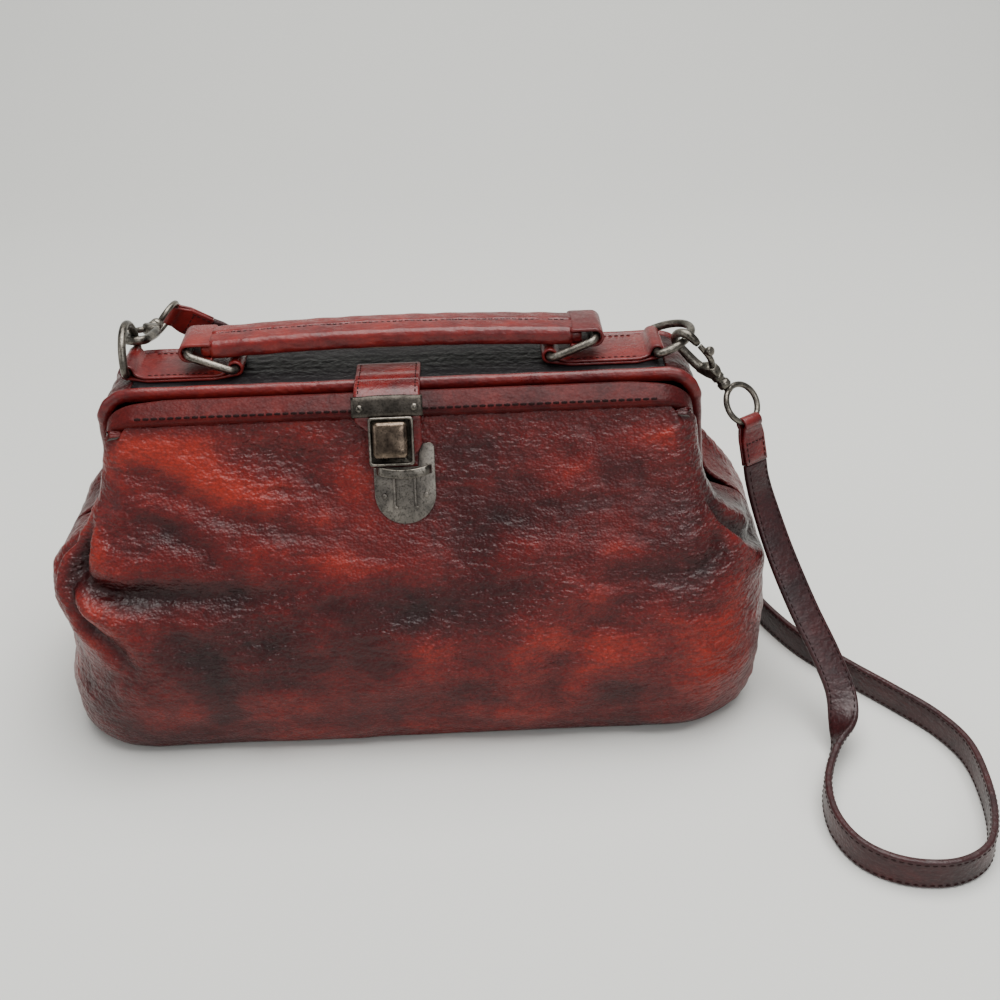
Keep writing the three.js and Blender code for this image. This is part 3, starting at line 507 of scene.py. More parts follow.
THREAD = plain("dark_thread", lambda n: n.noise(1500, 2, 0.5), (0.009, 0.002, 0.002), (0.018, 0.004, 0.004),
               bump=(0.4, 0.0002), Specular_IOR_Level=0.2, Roughness=0.8)
PALE = (0.68, 0.683, 0.655)
FLOOR = plain("pale_floor", lambda n: n.noise(3, 2), darker(PALE, 0.985), PALE, Roughness=0.8,
              Specular_IOR_Level=0.2)


# ---------- shoulder strap ----------

RIGHT_EXIT = (185.04, -27.2, 133.97)
LEFT_EXIT = (-112.73, 76.2, 179.84)
ON_EDGE = STRAP["width"] / 2 + 0.2
STRAP_OUTLINE = strip_section(STRAP["width"] / 2, STRAP["thick"] / 2, 1.2)
STITCH_LINE = STRAP["width"] / 2 - 1.9
RIGHT_ROUTE = [
    RIGHT_EXIT, (186.39, -29.0, 125.26), (190, -32, 112), (198, -45, 88), (209, -59, 62), (220, -73, 40),
    (226, -87, 24), (223, -104, 14), (214, -122, 9.5), (206, -145, ON_EDGE), (205, -169, ON_EDGE),
    (213, -189, ON_EDGE), (230, -201, ON_EDGE), (252, -203, ON_EDGE), (270, -193, ON_EDGE), (280, -172, ON_EDGE),
    (285, -144, ON_EDGE), (285, -117, ON_EDGE), (276, -93, ON_EDGE), (260, -70, ON_EDGE), (241, -45, ON_EDGE),
    (221, -16, ON_EDGE), (206, 19, ON_EDGE), (197, 56, ON_EDGE), (176, 92, ON_EDGE), (138, 110, ON_EDGE),
    (96, 114, ON_EDGE), (60, 115, ON_EDGE),
]
LEFT_ROUTE = [
    LEFT_EXIT, (-105.47, 78.02, 174.84), (-97, 79, 164), (-90, 82.5, 146), (-86.5, 86, 124), (-85, 89, 98),
    (-84, 91.5, 72), (-82, 94, 48), (-77, 98, 29), (-67, 104, 16), (-52, 110, 9.5), (-30, 114, ON_EDGE),
    (15, 115, ON_EDGE), (59.4, 115, ON_EDGE),
]


def strap_side(route, across, hangs, place):
    """The direction across the strap's width, which turns as it hangs and then stands on its edge."""
    upright = next(i for i, p in enumerate(route) if p[2] <= ON_EDGE)
    side = across.lerp(hangs, smooth(place, 1, 4)).normalized()
    return side.lerp(Z_AXIS, smooth(place, upright - 4, upright))


def make_strap(name, route, across, hangs, steps):
    """One run of the strap; its first stretch follows the clip that it hangs from."""
    path = spline(route, steps)
    sides = [strap_side(route, across, hangs, i / steps * (len(route) - 1)) for i in range(steps + 1)]
    obj = piece(name + "_leather", sweep(path, sides, STRAP_OUTLINE), STRAP_SKIN, None, [name])
    threads = []
    half = STRAP["thick"] / 2
    for centre, direction, place in along(path, 3.6, 2, 1):
        k = min(int(place), steps - 1)
        side = sides[k].lerp(sides[k + 1], place - k)
        side = (side - direction * side.dot(direction)).normalized()
        out = direction.cross(side)
        for edge in (-1, 1):
            for face in (-1, 1):
                seat = centre + side * edge * STITCH_LINE + out * face * half
                threads.append(stitch(seat, direction, out * face, 2.5, 0.32))
    stitches = piece(name + "_stitches", join(*threads), THREAD, None)
    for part in (obj, stitches):
        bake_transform(part)


make_strap("shoulder_strap_right", RIGHT_ROUTE, point(0.8, 0.6, 0), point(0.9, 0.3, 0.15), 300)
make_strap("shoulder_strap_left", LEFT_ROUTE, point(0.567, 0, 0.824), X_AXIS, 130)


# ---------- the soft body ----------

def level_at(levels, z):
    """Half length, half depth and corner radius at a height, on a smooth curve through the levels."""
    heights = [level[0] for level in levels]
    values = np.array([level[1:] for level in levels], float)
    k = int(np.clip(np.searchsorted(heights, z) - 1, 0, len(levels) - 2))
    span = heights[k + 1] - heights[k]
    t = np.clip((z - heights[k]) / span, 0, 1)
    rise = []
    for i in (k, k + 1):
        if i == 0 or i == len(levels) - 1:
            j = max(min(i, len(levels) - 2), 0)
            rise.append((values[j + 1] - values[j]) / (heights[j + 1] - heights[j]))
            continue
        before = (values[i] - values[i - 1]) / (heights[i] - heights[i - 1])
        after = (values[i + 1] - values[i]) / (heights[i + 1] - heights[i])
        same = before * after > 0
        safe = np.where(same, before + after, 1.0)
        rise.append(np.where(same, 2 * before * after / safe, 0.0))
    a, b = values[k], values[k + 1]
    m0, m1 = rise[0] * span, rise[1] * span
    return ((2 * t ** 3 - 3 * t ** 2 + 1) * a + (t ** 3 - 2 * t ** 2 + t) * m0
            + (-2 * t ** 3 + 3 * t ** 2) * b + (t ** 3 - t ** 2) * m1)


SIDE_STEPS, CORNER_STEPS, FACE_STEPS = 26, 52, 180


FOLD_Z = 100
FRONT_CORNER = {"from_middle": 130.6, "along_leg": 57.8, "radius": 18.9}


def side_edge(z, front):
    """Where a wall's skin ends at a side: on the middle of the gusset low down, on its frame's leg above."""
    half_length = level_at(FRONT_LEVELS if front else REAR_LEVELS, z)[0]
    above = max(z - HINGE_Z, 0)
    started = smooth(z, FOLD_Z, HINGE_Z)
    if front:
        # The leg leans 40 forward in 62 up, and ends in the frame's round corner.
        depth = 5.5 * started + above * 40 / 62
        leg = 156.4 - above * 0.117
        past_leg = above / 0.84 - FRONT_CORNER["along_leg"]
        if past_leg > 0:
            arc = math.sqrt(max(FRONT_CORNER["radius"] ** 2 - past_leg ** 2, 0))
            leg = min(leg, FRONT_CORNER["from_middle"] + arc)
    else:
        depth = 7.5 * started + above * 0.335
        leg = 163.4 - above * 0.18
    return mix(half_length, leg, smooth(z, FOLD_Z, HINGE_Z + 3)), depth


def wall_row(z, front):
    """Points of one half of the wall at a height, from the left side round the front to the right."""
    half_length, half_depth, corner = level_at(FRONT_LEVELS if front else REAR_LEVELS, z)
    edge_x, edge_y = side_edge(z, front)
    side_foot = max(half_depth - corner, edge_y + 2)
    row = []
    for i in range(SIDE_STEPS):
        t = i / SIDE_STEPS
        bow = math.sin(math.pi * t)
        tuck = 5 * bow * smooth(z, 96, 125)
        row.append((-(mix(edge_x, half_length, t * t * (3 - 2 * t)) - tuck), -mix(edge_y, side_foot, t)))
    centre = (half_length - corner, side_foot)
    deep = half_depth - side_foot
    for i in range(CORNER_STEPS):
        turn = math.pi / 2 * i / CORNER_STEPS
        row.append((-(centre[0] + corner * math.cos(turn)), -(centre[1] + deep * math.sin(turn))))
    for i in range(FACE_STEPS // 2 + 1):
        row.append((-(half_length - corner) * (1 - 2 * i / FACE_STEPS), -half_depth))
    mirrored = [(-x, y) for x, y in reversed(row[:-1])]
    full = row + mirrored
    sign = 1 if front else -1
    return [(x, sign * y) for x, y in full]


def unrolled():
    """Distance round the wall from the middle of its face, in millimetres, column by column."""
    row = [Vector((x, y)) for x, y in wall_row(66, True)]
    total = lengths(row)
    return np.array(total) - total[-1] / 2


def line_distance(u, z, route):
    """Distance of each point from a drawn line, and how far along the line its nearest point is."""
    best = np.full(u.shape, 1e9)
    part = np.zeros(u.shape)
    spans = len(route) - 1
    for k, ((ua, za), (ub, zb)) in enumerate(zip(route, route[1:])):
        du, dz = ub - ua, zb - za
        t = np.clip(((u - ua) * du + (z - za) * dz) / (du * du + dz * dz), 0, 1)
        away = np.hypot(u - ua - t * du, z - za - t * dz)
        nearer = away < best
        best = np.where(nearer, away, best)
        part = np.where(nearer, (k + t) / spans, part)
    return best, part


def smooth_line(points, steps=40):
    return [(p.x, p.y) for p in spline([(a, b, 0) for a, b in points], steps)]


# Folds of the soft walls, drawn on the unrolled wall: width, depth, the ridge beside it, how its depth runs
# from the first point of its line to the last, and the line.
FRONT_FOLDS = [
    (5.4, 6.4, 3.4, (0.3, 0.8, 1.0, 0.95, 0.6, 0.28, 0.0),
     [(-194, 122), (-186, 113), (-172, 106), (-152, 100), (-120, 97), (-80, 96), (-35, 100)]),
    (5.5, 5.0, 2.4, (0.4, 1.0, 0.9, 0.5, 0.0),
     [(-186, 118), (-178, 98), (-168, 82), (-152, 68), (-146, 50)]),
    (5.0, 3.6, 1.8, (0.5, 1.0, 0.8, 0.5, 0.0),
     [(-214, 122), (-205, 108), (-194, 96), (-190, 78), (-196, 58)]),
    (7.0, 2.2, 1.0, (0.0, 0.8, 1.0, 0.5, 0.0),
     [(-150, 168), (-120, 150), (-84, 132), (-44, 122), (-6, 118)]),
    (5.0, 1.9, 0.9, (0.0, 1.0, 0.8, 0.0),
     [(-150, 143), (-118, 128), (-92, 112), (-74, 100)]),
    (8.0, 1.3, 0.5, (0.0, 1.0, 0.7, 0.0),
     [(-100, 168), (-60, 158), (-36, 140), (-30, 118)]),
    (5.8, 6.2, 2.2, (0.05, 0.45, 0.9, 0.9, 0.7, 0.4),
     [(184, 132), (189, 119), (197, 108), (210, 100), (227, 96), (246, 98)]),
    (7.0, 2.6, 1.2, (0.9, 0.7, 0.4, 0.0),
     [(168, 108), (140, 100), (104, 98), (70, 102)]),
    (8.0, 1.4, 0.8, (0.0, 1.0, 0.8, 0.0),
     [(110, 90), (84, 66), (72, 40), (84, 16)]),
    (8.0, 1.6, 0.9, (0.0, 1.0, 0.8, 0.0),
     [(-128, 86), (-104, 60), (-96, 34), (-108, 12)]),
    (9.0, 1.2, 0.6, (0.0, 1.0, 0.8, 0.0),
     [(-20, 92), (10, 84), (52, 88), (96, 80)]),
]
REAR_FOLDS = [
    (5.0, 5.0, 2.2, (0.4, 0.9, 1.0, 0.9, 0.7, 0.4, 0.0),
     [(-178, 168), (-172, 146), (-170, 122), (-164, 106), (-130, 98), (-80, 97), (-20, 102)]),
    (5.0, 5.0, 2.2, (0.4, 0.9, 1.0, 0.9, 0.7, 0.4, 0.0),
     [(178, 168), (172, 146), (170, 122), (166, 108), (138, 99), (92, 95), (34, 99)]),
    (5.5, 3.4, 1.8, (0.5, 1.0, 0.7, 0.0),
     [(-206, 116), (-196, 96), (-190, 74), (-198, 52)]),
    (5.5, 3.4, 1.8, (0.5, 1.0, 0.7, 0.0),
     [(204, 118), (195, 98), (184, 78), (176, 56)]),
    (9.0, 1.6, 0.8, (0.0, 1.0, 0.8, 0.0),
     [(-90, 88), (-60, 60), (-66, 30), (-82, 12)]),
    (8.0, 1.8, 0.9, (0.0, 1.0, 0.8, 0.0),
     [(20, 150), (60, 140), (104, 128), (138, 112)]),
]

# Where the front is darker (below zero) or brighter, from dye blotches and from a few broad zones of painted
# light and shade: place on the unrolled wall, size across and up, and how much.
FRONT_DYE_AND_PAINTED_LIGHT = [
    (-110, 62, 16, 20, -1.2), (-70, 48, 22, 10, -0.8), (36, 158, 26, 9, -0.9), (60, 128, 26, 10, -0.7),
    (118, 150, 26, 9, -0.6), (110, 40, 30, 14, -0.8), (26, 40, 26, 9, -0.5), (150, 96, 18, 18, -0.7),
    (-120, 100, 26, 8, -0.7), (-35, 88, 20, 7, -0.5), (70, 92, 18, 12, -0.6), (-60, 20, 40, 7, -0.4),
    (-130, 168, 26, 7, 0.7), (-78, 142, 26, 9, 0.9), (128, 160, 18, 12, 1.1), (106, 116, 16, 10, 1.0),
    (82, 150, 16, 6, 0.9), (-30, 110, 30, 7, 0.8), (90, 64, 22, 9, 0.8), (-130, 30, 18, 12, 0.9),
    # The wide entries at (-105, 158) and (-60, 64) are painted light: the upper left lit brighter, the belly in
    # painted shade.
    (6, 66, 26, 8, 0.6), (-20, 140, 16, 20, 0.6), (-190, 120, 8, 30, -0.5), (-105, 158, 75, 18, 1.0),
    (-60, 64, 80, 17, -0.9), (-110, 128, 30, 12, -0.5), (-40, 128, 30, 14, 0.7), (20, 84, 60, 12, -0.6),
    (-70, 6, 120, 10, 0.5), (215, 110, 30, 30, -1.1),
]
REAR_DYE = [
    (-120, 60, 24, 20, -1.0), (40, 130, 40, 14, -0.8), (100, 44, 30, 14, -0.8), (-30, 100, 30, 10, -0.6),
    (-80, 140, 26, 12, 0.9), (70, 80, 26, 12, 0.9), (0, 40, 40, 9, 0.7), (150, 150, 20, 20, 0.6),
]


def bell(value, centre, width):
    """A smooth hump, one at its centre and fading to nothing on both sides."""
    return np.exp(-((value - centre) / width) ** 2)


def fold_depths(u, z, folds):
    """How far the folds move the wall in or out, and how much painted shade they lay along their creases."""
    move = np.zeros(u.shape)
    shade = np.zeros(u.shape)
    for width, depth, ridge, fade, line in folds:
        away, part = line_distance(u, z, smooth_line(line))
        strength = np.interp(part, np.linspace(0, 1, len(fade)), fade)
        beside = bell(away, 2.3 * width, 1.5 * width)
        move += strength * (ridge * beside - depth * bell(away, 0, width))
        shade += strength * bell(away, 0, 0.55 * width) * min(depth / 5, 1)
    return move, shade


def noise_field(points, scale, stretch, seed):
    """Smooth noise, from -1 to 1, over an array of points in millimetres."""
    flat = points.reshape(-1, 3) * np.array(stretch) / scale + seed
    values = [noise.fractal(Vector(p), 1.0, 2.0, 3) for p in flat]
    return np.array(values).reshape(points.shape[:-1])


def normals_of(grid):
    du = np.gradient(grid, axis=1)
    dz = np.gradient(grid, axis=0)
    normal = np.cross(du, dz)
    size = np.linalg.norm(normal, axis=-1, keepdims=True)
    return normal / np.maximum(size, 1e-9)


def left_tuck(x, z):
    """How far the left end of the bag is drawn in below its widest part."""
    tuck = 9.5 * bell(z, 56, 25) - 1.5 * bell(z, 100, 14)
    beside = np.clip((-x - 110) / 75, 0, 1)
    return tuck * beside ** 2 * (3 - 2 * beside)


def wall_grid(front):
    """The wall's points with its folds and wrinkles, and two values at each: its tone, dye mixed with painted light
    and shade, and the folds' painted shade.
    """
    top = 177.4 if front else 184.5  # just under the frame's binding, and under the lid
    heights = np.concatenate([[0.6, 0.9, 1.6, 2.6], np.linspace(4, top, 118)])
    rows = [[(x, y, z) for x, y in wall_row(z, front)] for z in heights]
    turned_in = [[(x * (1 - inset / 175), y * (1 - inset / 72), 0.35) for x, y in wall_row(0.6, front)]
                 for inset in (26, 16, 8, 3)]
    grid = np.array(turned_in + rows, float)
    u = np.tile(unrolled(), (grid.shape[0], 1))
    z = grid[..., 2]
    outward = normals_of(grid)
    outward *= np.sign(np.sum(outward[60, 140] * np.array([0, -1 if front else 1, 0])))
    move, shade = fold_depths(u, z, FRONT_FOLDS if front else REAR_FOLDS)

    # Beside the folds, the leather swells, crumples and wrinkles, less near the frame, the latch and its side edges.
    seed = 3.1 if front else 8.7
    swell = noise_field(grid, 58, (1, 1, 1.25), seed)
    crumple = noise_field(grid, 15, (0.55, 0.7, 1.7), seed + 5)
    fine = noise_field(grid, 6.5, (0.5, 0.7, 1.7), seed + 9)
    folded = bell(u, -95, 95) * bell(z, 130, 45) if front else 0.3
    move += 2.3 * swell + (0.6 + 0.6 * folded) * crumple + (0.34 + 0.36 * folded) * fine
    move += 1.4 * bell(z, 48, 34)
    free = np.clip(z / 8, 0, 1) * np.clip((top - z) / 14, 0, 1)
    if front:
        x = grid[..., 0]
        latch = np.exp(-(x / 30) ** 4) * np.exp(-((z - 147) / 33) ** 4)
        free = free * (1 - latch)
        move -= 1.3 * latch
    inside_edge = np.clip((254 - np.abs(u)) / 26, 0, 1)
    free = free * (0.12 + 0.88 * inside_edge)
    grid = grid + outward * (move * free)[..., None]
    grid[..., 2] = np.maximum(grid[..., 2], 0.3)
    grid[..., 0] += left_tuck(grid[..., 0], grid[..., 2])
    if front:
        grid[..., 2] -= 3.0 * np.clip((z - 150) / 27, 0, 1) * np.clip((np.abs(u) - 150) / 14, 0, 1)

    tone = np.zeros(u.shape)
    for cu, cz, wide, tall, amount in (FRONT_DYE_AND_PAINTED_LIGHT if front else REAR_DYE):
        tone += amount * np.exp(-((u - cu) / wide) ** 2 - ((z - cz) / tall) ** 2)
    # Painted highlight and shade: the tone is lighter where the wall swells out and darker where it sinks in.
    tone += 0.9 * np.clip(move, -2, 3) / 3 * free
    # Painted shade in the folds, and painted shade along the wall's foot.
    shade = shade * free + 0.5 * bell(z, 0, 4)
    return grid, tone, shade


def add_values(obj, name, values):
    attribute = obj.data.attributes.new(name, "FLOAT", "POINT")
    attribute.data.foreach_set("value", np.asarray(values, np.float32).reshape(-1))


def thicken(obj, thickness, inside=None):
    """Gives a sheet its thickness, inwards, with the lining cloth on its inner face."""
    solid = obj.modifiers.new("thickness", "SOLIDIFY")
    solid.thickness = thickness * MM
    solid.offset = -1
    if inside is not None:
        obj.data.materials.append(inside)
        solid.material_offset = 1
    with bpy.context.temp_override(object=obj, active_object=obj, selected_objects=[obj]):
        bpy.ops.object.modifier_apply(modifier=solid.name)


def orient(obj, outward_at, direction):
    """Turns a sheet's faces round where they face the wrong way at one of its faces."""
    if obj.data.polygons[outward_at].normal.dot(direction) < 0:
        obj.data.flip_normals()


def make_wall(name, front, replaces):
    grid, tone, shade = wall_grid(front)
    columns = grid.shape[1]
    obj = piece(name, grid_shape(grid), SKIN, None, replaces)
    # The tone holds dye mixed with painted light and shade.
    add_values(obj, "tone", tone)
    # The fold value is painted shade.
    add_values(obj, "fold", shade)
    orient(obj, 70 * (columns - 1) + columns // 2, Vector((0, -1 if front else 1, 0)))
    thicken(obj, 2.0, LINING)
    return obj


front_wall = make_wall("front_leather", True, ["front_panel", "front_yoke"])
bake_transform(front_wall)
rear_wall = make_wall("rear_leather", False, ["rear_panel", "rear_yoke", "gusset_left", "gusset_right"])
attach(rear_wall, "lower_bag")


def make_gusset_fold(name, side):
    """The thin leather that folds inwards between the two frames' legs."""
    rows = []
    for z in np.linspace(112, 176, 34):
        above = max(z - HINGE_Z, 0)
        front = (150.5 - above * 0.115, -(2.5 + above * 0.645))
        rear = (149.5 - above * 0.1, 3.0 + above * 0.36)
        depth = 6 + 20 * smooth(z, 116, 160)
        row = []
        for i in range(33):
            t = i / 32
            pull = depth * (1 - abs(2 * t - 1) ** 1.6)
            x = mix(front[0], rear[0], t) - pull
            lean = mix(front[1], rear[1], t ** 0.9 if t < 0.5 else t)
            row.append((side * x, lean, z + 1.5 * math.sin(9 * t + z / 9)))
        rows.append(row)
    obj = piece(name, grid_shape(np.array(rows)), LID, None)
    thicken(obj, 0.9)
    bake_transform(obj)


make_gusset_fold("gusset_fold_left", -1)
make_gusset_fold("gusset_fold_right", 1)


def make_bottom():
    """The flat bottom, a little crowned, with a rounded rim."""
    rings = []
    for inset, z in ((0, 3.1), (0, 0.6), (0.8, 0.1), (3, 0.0)):
        rings.append([point(x, y, z) for x, y in strip_section(158 - inset, 58 - inset, 20 - inset, 10)])
    piece("bottom_leather", loft(rings), SKIN, "lower_bag", ["bottom_panel"])


make_bottom()


def make_lining():
    """The cotton lining: a bag of cloth inside the leather, gathered along its top hem."""
    inset = 8.5
    rows = []
    for z in (6.9, 8.5, 14, 24, 36, 48, 58, 66, 71, 72):
        half_length, half_depth, corner = level_at(TUB_LEVELS, z)
        outline = strip_section(half_length - inset, half_depth - inset, corner - inset, 24)
        count = len(outline)
        row = []
        for k, (x, y) in enumerate(outline):
            ripple = 0.9 * math.sin(k * 1.7 + z / 9) * math.sin(k * 0.37 + 1) * smooth(z, 10, 60)
            away = Vector((x, y)).normalized()
            x += left_tuck(x, z)
            row.append((x - away.x * (1 + ripple), y - away.y * (1 + ripple), z))
        rows.append(row)
    grid = [v for row in rows for v in row]
    faces = grid_faces(len(rows), count, closed=True)
    faces.append(tuple(range(count)))
    piece("lining_cloth", (grid, faces), LINING, "lower_bag", ["lining"])


make_lining()


# ---------- frames and lid ----------

def u_path(half_length, splay, foot, top, corner, splay_height, steps=14, legs=14):
    """A U in (x, height), from the foot of the left leg over the top to the foot of the right leg."""
    slope = splay / splay_height
    corner_foot = top - corner
    half = []
    for i in range(legs):
        s = mix(foot, corner_foot, i / legs)
        half.append((half_length + slope * (corner_foot - s), s))
    for i in range(steps + 1):
        turn = math.pi / 2 * i / steps
        half.append((half_length - corner + corner * math.cos(turn), corner_foot + corner * math.sin(turn)))
    flat = [((half_length - corner) * (1 - i / 20), top) for i in range(1, 20)]
    half += flat
    left = [(-x, s) for x, s in half]
    return left + [(0, top)] + half[::-1]


FRONT_LEG = Vector((0, -40, 62))
FRONT_REACH = FRONT_LEG.length
FRONT_UP = FRONT_LEG.normalized()
FRONT_NORMAL = X_AXIS.cross(FRONT_UP)


def on_front(x, s):
    return point(x, 0, HINGE_Z) + FRONT_UP * s


def make_binding():
    """The smooth leather rolled round the front frame, with its line of stitches."""
    path = [on_front(x, s) for x, s in u_path(147, 7.5, 15, FRONT_REACH, 16, FRONT_REACH)]

    def section(i):
        """Wider along the top of the frame, where the leather reaches back under the lid's edge."""
        wave = 0.14 * math.sin(i * 0.9) + 0.1 * math.sin(i * 2.3 + 1)
        back = 2.6 * (1 - smooth(abs(path[i].x), 112, 150))
        outline = []
        for a, b in strip_section(5.4, 2.9, 2.1, 5):
            behind = (5.4 - a) / 10.8
            spread = 0.35 * back * behind * (1 if b > 0 else -1)
            outline.append((a - back * behind, b + wave * (0.3 + 0.1 * a) + spread))
        return outline

    piece("frame_binding", sweep(path, FRONT_NORMAL, section), BAND, "front_mouth", ["front_binding"])
    face = [p - FRONT_NORMAL * -3.4 for p in path]
    stitches = []
    for centre, direction, _ in along(face, 4.1, 67, 67):
        outward = direction.cross(FRONT_NORMAL).normalized()
        if outward.dot(centre - on_front(0, 30)) < 0:
            outward = -outward
        stitches.append(stitch(centre + outward * 2.9, direction, outward, 3.0, 0.72))
    piece("frame_stitches", join(*stitches), THREAD, "front_mouth")


make_binding()


LID_FOOT, LID_Z, LID_HALF_DEPTH = 112, 187.3, 22


def lid_depth(z):
    """Half the lid's depth at a height: its cheeks are narrow at the hinge and widen towards the top."""
    part = min(max((z - LID_FOOT - 12) / (176 - LID_FOOT - 12), 0), 1)
    return mix(5, LID_HALF_DEPTH, part)


LID_PATH = [point(x, 0, z)
            for x, z in u_path(153.2, 8.3, LID_FOOT, LID_Z, 16, LID_Z - LID_FOOT, steps=16, legs=18)]


def make_lid():
    """The wide top of the rear frame: black on top, red at its two ends, and rolled along both sides."""
    flat = 137
    top_path = [point(mix(-flat + 0.3, flat - 0.3, i / 60), 0, LID_Z) for i in range(61)]

    def top_section(i):
        outline = []
        for a, b in wide_section(LID_HALF_DEPTH, 1.2):
            ripple = 0.12 * math.sin(a * 0.9 + i * 0.23) * (1 if b > 0 else 0)
            outline.append((a, b + (0.35 * (1 - (a / LID_HALF_DEPTH) ** 2) + ripple)))
        return outline

    piece("lid_leather", sweep(top_path, Y_AXIS, top_section), LID, "lower_bag", ["lid_top"])
    legs = [p for p in LID_PATH if p.x < -flat + 0.5]
    ends = {"left": legs, "right": [point(-p.x, 0, p.z) for p in reversed(legs)]}
    for side, path in ends.items():
        def section(i, path=path):
            half = lid_depth(path[i].z)
            return [(a, b + 0.25 * math.sin(path[i].z * 0.35 + a * 0.5)) for a, b in wide_section(half, 1.2)]

        shape = sweep(path, Y_AXIS, section)
        cheek = piece("lid_cheek_" + side, shape, SKIN, "lower_bag", ["cheek_" + side])
        add_values(cheek, "tone", [-0.5 + 0.8 * noise.noise(Vector(v) * 0.03) for v in shape[0]])
    for name, sign in (("front", -1), ("rear", 1)):
        edge = [point(p.x, sign * (lid_depth(p.z) + 2.3), p.z + 0.2) for p in LID_PATH]

        def roll(i, edge=edge, sign=sign):
            """Round on the legs, and a drooping oval along the top."""
            swell = 2.35 + 0.1 * math.sin(i * 1.3) + 0.08 * math.sin(i * 0.37)
            droop = smooth(edge[i].z, 150, 187)
            return [(a * (1 + 0.22 * droop) + sign * 0.8 * droop, b * (1 + 0.55 * droop) - 1.2 * droop)
                    for a, b in ring_section(swell, 18)]

        shape = sweep(edge, Y_AXIS, roll)
        piece("lid_rolled_edge_" + name, shape, TRIM, "lower_bag", ["lid_roll_" + name])


def wide_section(half_width, half_thick, across=26):
    """A flat strip's outline with many points across its faces."""
    edge = 0.4 * half_thick
    upper = [(mix(half_width - 0.8, -half_width + 0.8, i / across), half_thick) for i in range(across + 1)]
    upper = [(half_width, edge)] + upper + [(-half_width, edge)]
    return upper + [(a, -b) for a, b in reversed(upper)]


make_lid()


# ---------- straps and rings on the lid ----------

def belt(left, right, centre_z, radius, low, high):
    """A strap's middle line folded back round a bar at each end, in (x, z): over the top and back under."""
    def bend(x, first, last):
        return [(x + radius * math.cos(t), centre_z + radius * math.sin(t))
                for t in np.radians(np.linspace(first, last, 22))]

    upper = [(mix(left + 9, right - 9, i / 8), high) for i in range(9)]
    lower = [(mix(right - 5, left + 5, i / 8), low) for i in range(9)]
    return (upper + [(right - 5.5, high + 0.35), (right - 3.9, high + 1.3)] + bend(right, 150, -90)
            + lower + bend(left, -90, -330) + [(left + 3.9, high + 1.3), (left + 5.5, high + 0.35)])


def make_base_strap(side, sign):
    layer = BASE_STRAP["layer"]
    radius = 2.5 + layer / 2 + 0.1
    low = 188.9 + layer / 2
    high = low + layer + 0.1
    ends = sorted(sign * v for v in (BASE_STRAP["outer"], BASE_STRAP["inner"]))
    left, right = (x + FITTINGS_X for x in ends)
    path = [point(x, 0, z) for x, z in belt(left, right, LOOP_Z, radius, low, high)]
    middle = (left + right) / 2
    flat_half = (right - left) / 2 - 8

    def section(i):
        away = abs(path[i].x - middle)
        wide = 1 - smooth(away, flat_half - 3, flat_half + 6)
        half = mix(BASE_STRAP["loop_width"], BASE_STRAP["width"] - 0.6, wide) / 2
        return strip_section(half, layer / 2, 0.65)

    shape = sweep(path, Y_AXIS, section, closed=True)
    piece("base_strap_leather_" + side, shape, TRIM, "lower_bag", ["base_strap_" + side])
    threads = []
    for sign_y in (-1, 1):
        edge = [point(mix(left + 10, right - 10, i / 20), sign_y * 14.2, high + layer / 2) for i in range(21)]
        threads += seam(edge, 3.2, Z_AXIS, 2.2, 0.33)
    piece("base_strap_stitches_" + side, join(*threads), THREAD, "lower_bag")


make_base_strap("left", -1)
make_base_strap("right", 1)


def d_ring_path():
    half, shoulder, height = D_RING["half_width"], D_RING["shoulder"], D_RING["height"]
    corner = 2.2
    turns = np.radians((22, 45, 68, 90))
    bend = [(half - corner + corner * math.sin(t), corner - corner * math.cos(t)) for t in turns]
    line = [(y, 0) for y in np.linspace(-half + corner, half - corner, 9)] + bend
    line += [(half * math.cos(t), shoulder + height * math.sin(t)) for t in np.linspace(0.1, math.pi - 0.1, 34)]
    line += [(-y, z) for y, z in reversed(bend)]
    return [point(0, y, z) for y, z in line]


def handle_ring_path():
    half, reach, corner = HANDLE_RING["half_width"], HANDLE_RING["reach"], HANDLE_RING["corner"]
    path = []
    for side, foot, start in ((1, reach, 0), (-1, reach, 90), (-1, 0, 180), (1, 0, 270)):
        inward = foot - corner if foot > 0 else corner
        for i in range(7):
            turn = math.radians(start + 90 * i / 6)
            y = side * (half - corner) + corner * math.cos(turn)
            path.append(point(0, y, inward + corner * math.sin(turn)))
    return path


def make_ring(name, path, x, lean, body):
    turn = Matrix.Translation((FITTINGS_X + x, 0, LOOP_Z)) @ Matrix.Rotation(math.radians(90 - lean), 4, "Y")
    wire = sweep(path, X_AXIS, ring_section(BAR_RADIUS, 18), closed=True)
    piece(name + "_wire", moved(wire, turn), METAL, body, [name])


for ring_side, ring_sign in (("left", -1), ("right", 1)):
    make_ring("d_ring_" + ring_side, d_ring_path(), ring_sign * BASE_STRAP["outer"], D_RING_LEAN[ring_side],
              "clip_" + ring_side)
for ring_side, ring_sign, lean in (("left", -1, 180 - HANDLE_RING["lean"]), ("right", 1, HANDLE_RING["lean"])):
    make_ring("handle_ring_" + ring_side, handle_ring_path(), ring_sign * BASE_STRAP["inner"], lean,
              "handle_link_" + ring_side)


# ---------- handle ----------

BAR_X = BASE_STRAP["inner"] + HANDLE_RING["reach"] * math.cos(math.radians(HANDLE_RING["lean"]))
BAR_Z = LOOP_Z + HANDLE_RING["reach"] * math.sin(math.radians(HANDLE_RING["lean"]))


CROWN_HEIGHT, CROWN_HALF_LENGTH = 3.2, 96


def crown(x):
    """How far the handle's middle line rises towards its middle."""
    return CROWN_HEIGHT * (1 - (x / CROWN_HALF_LENGTH) ** 2) if abs(x) < CROWN_HALF_LENGTH else 0.0


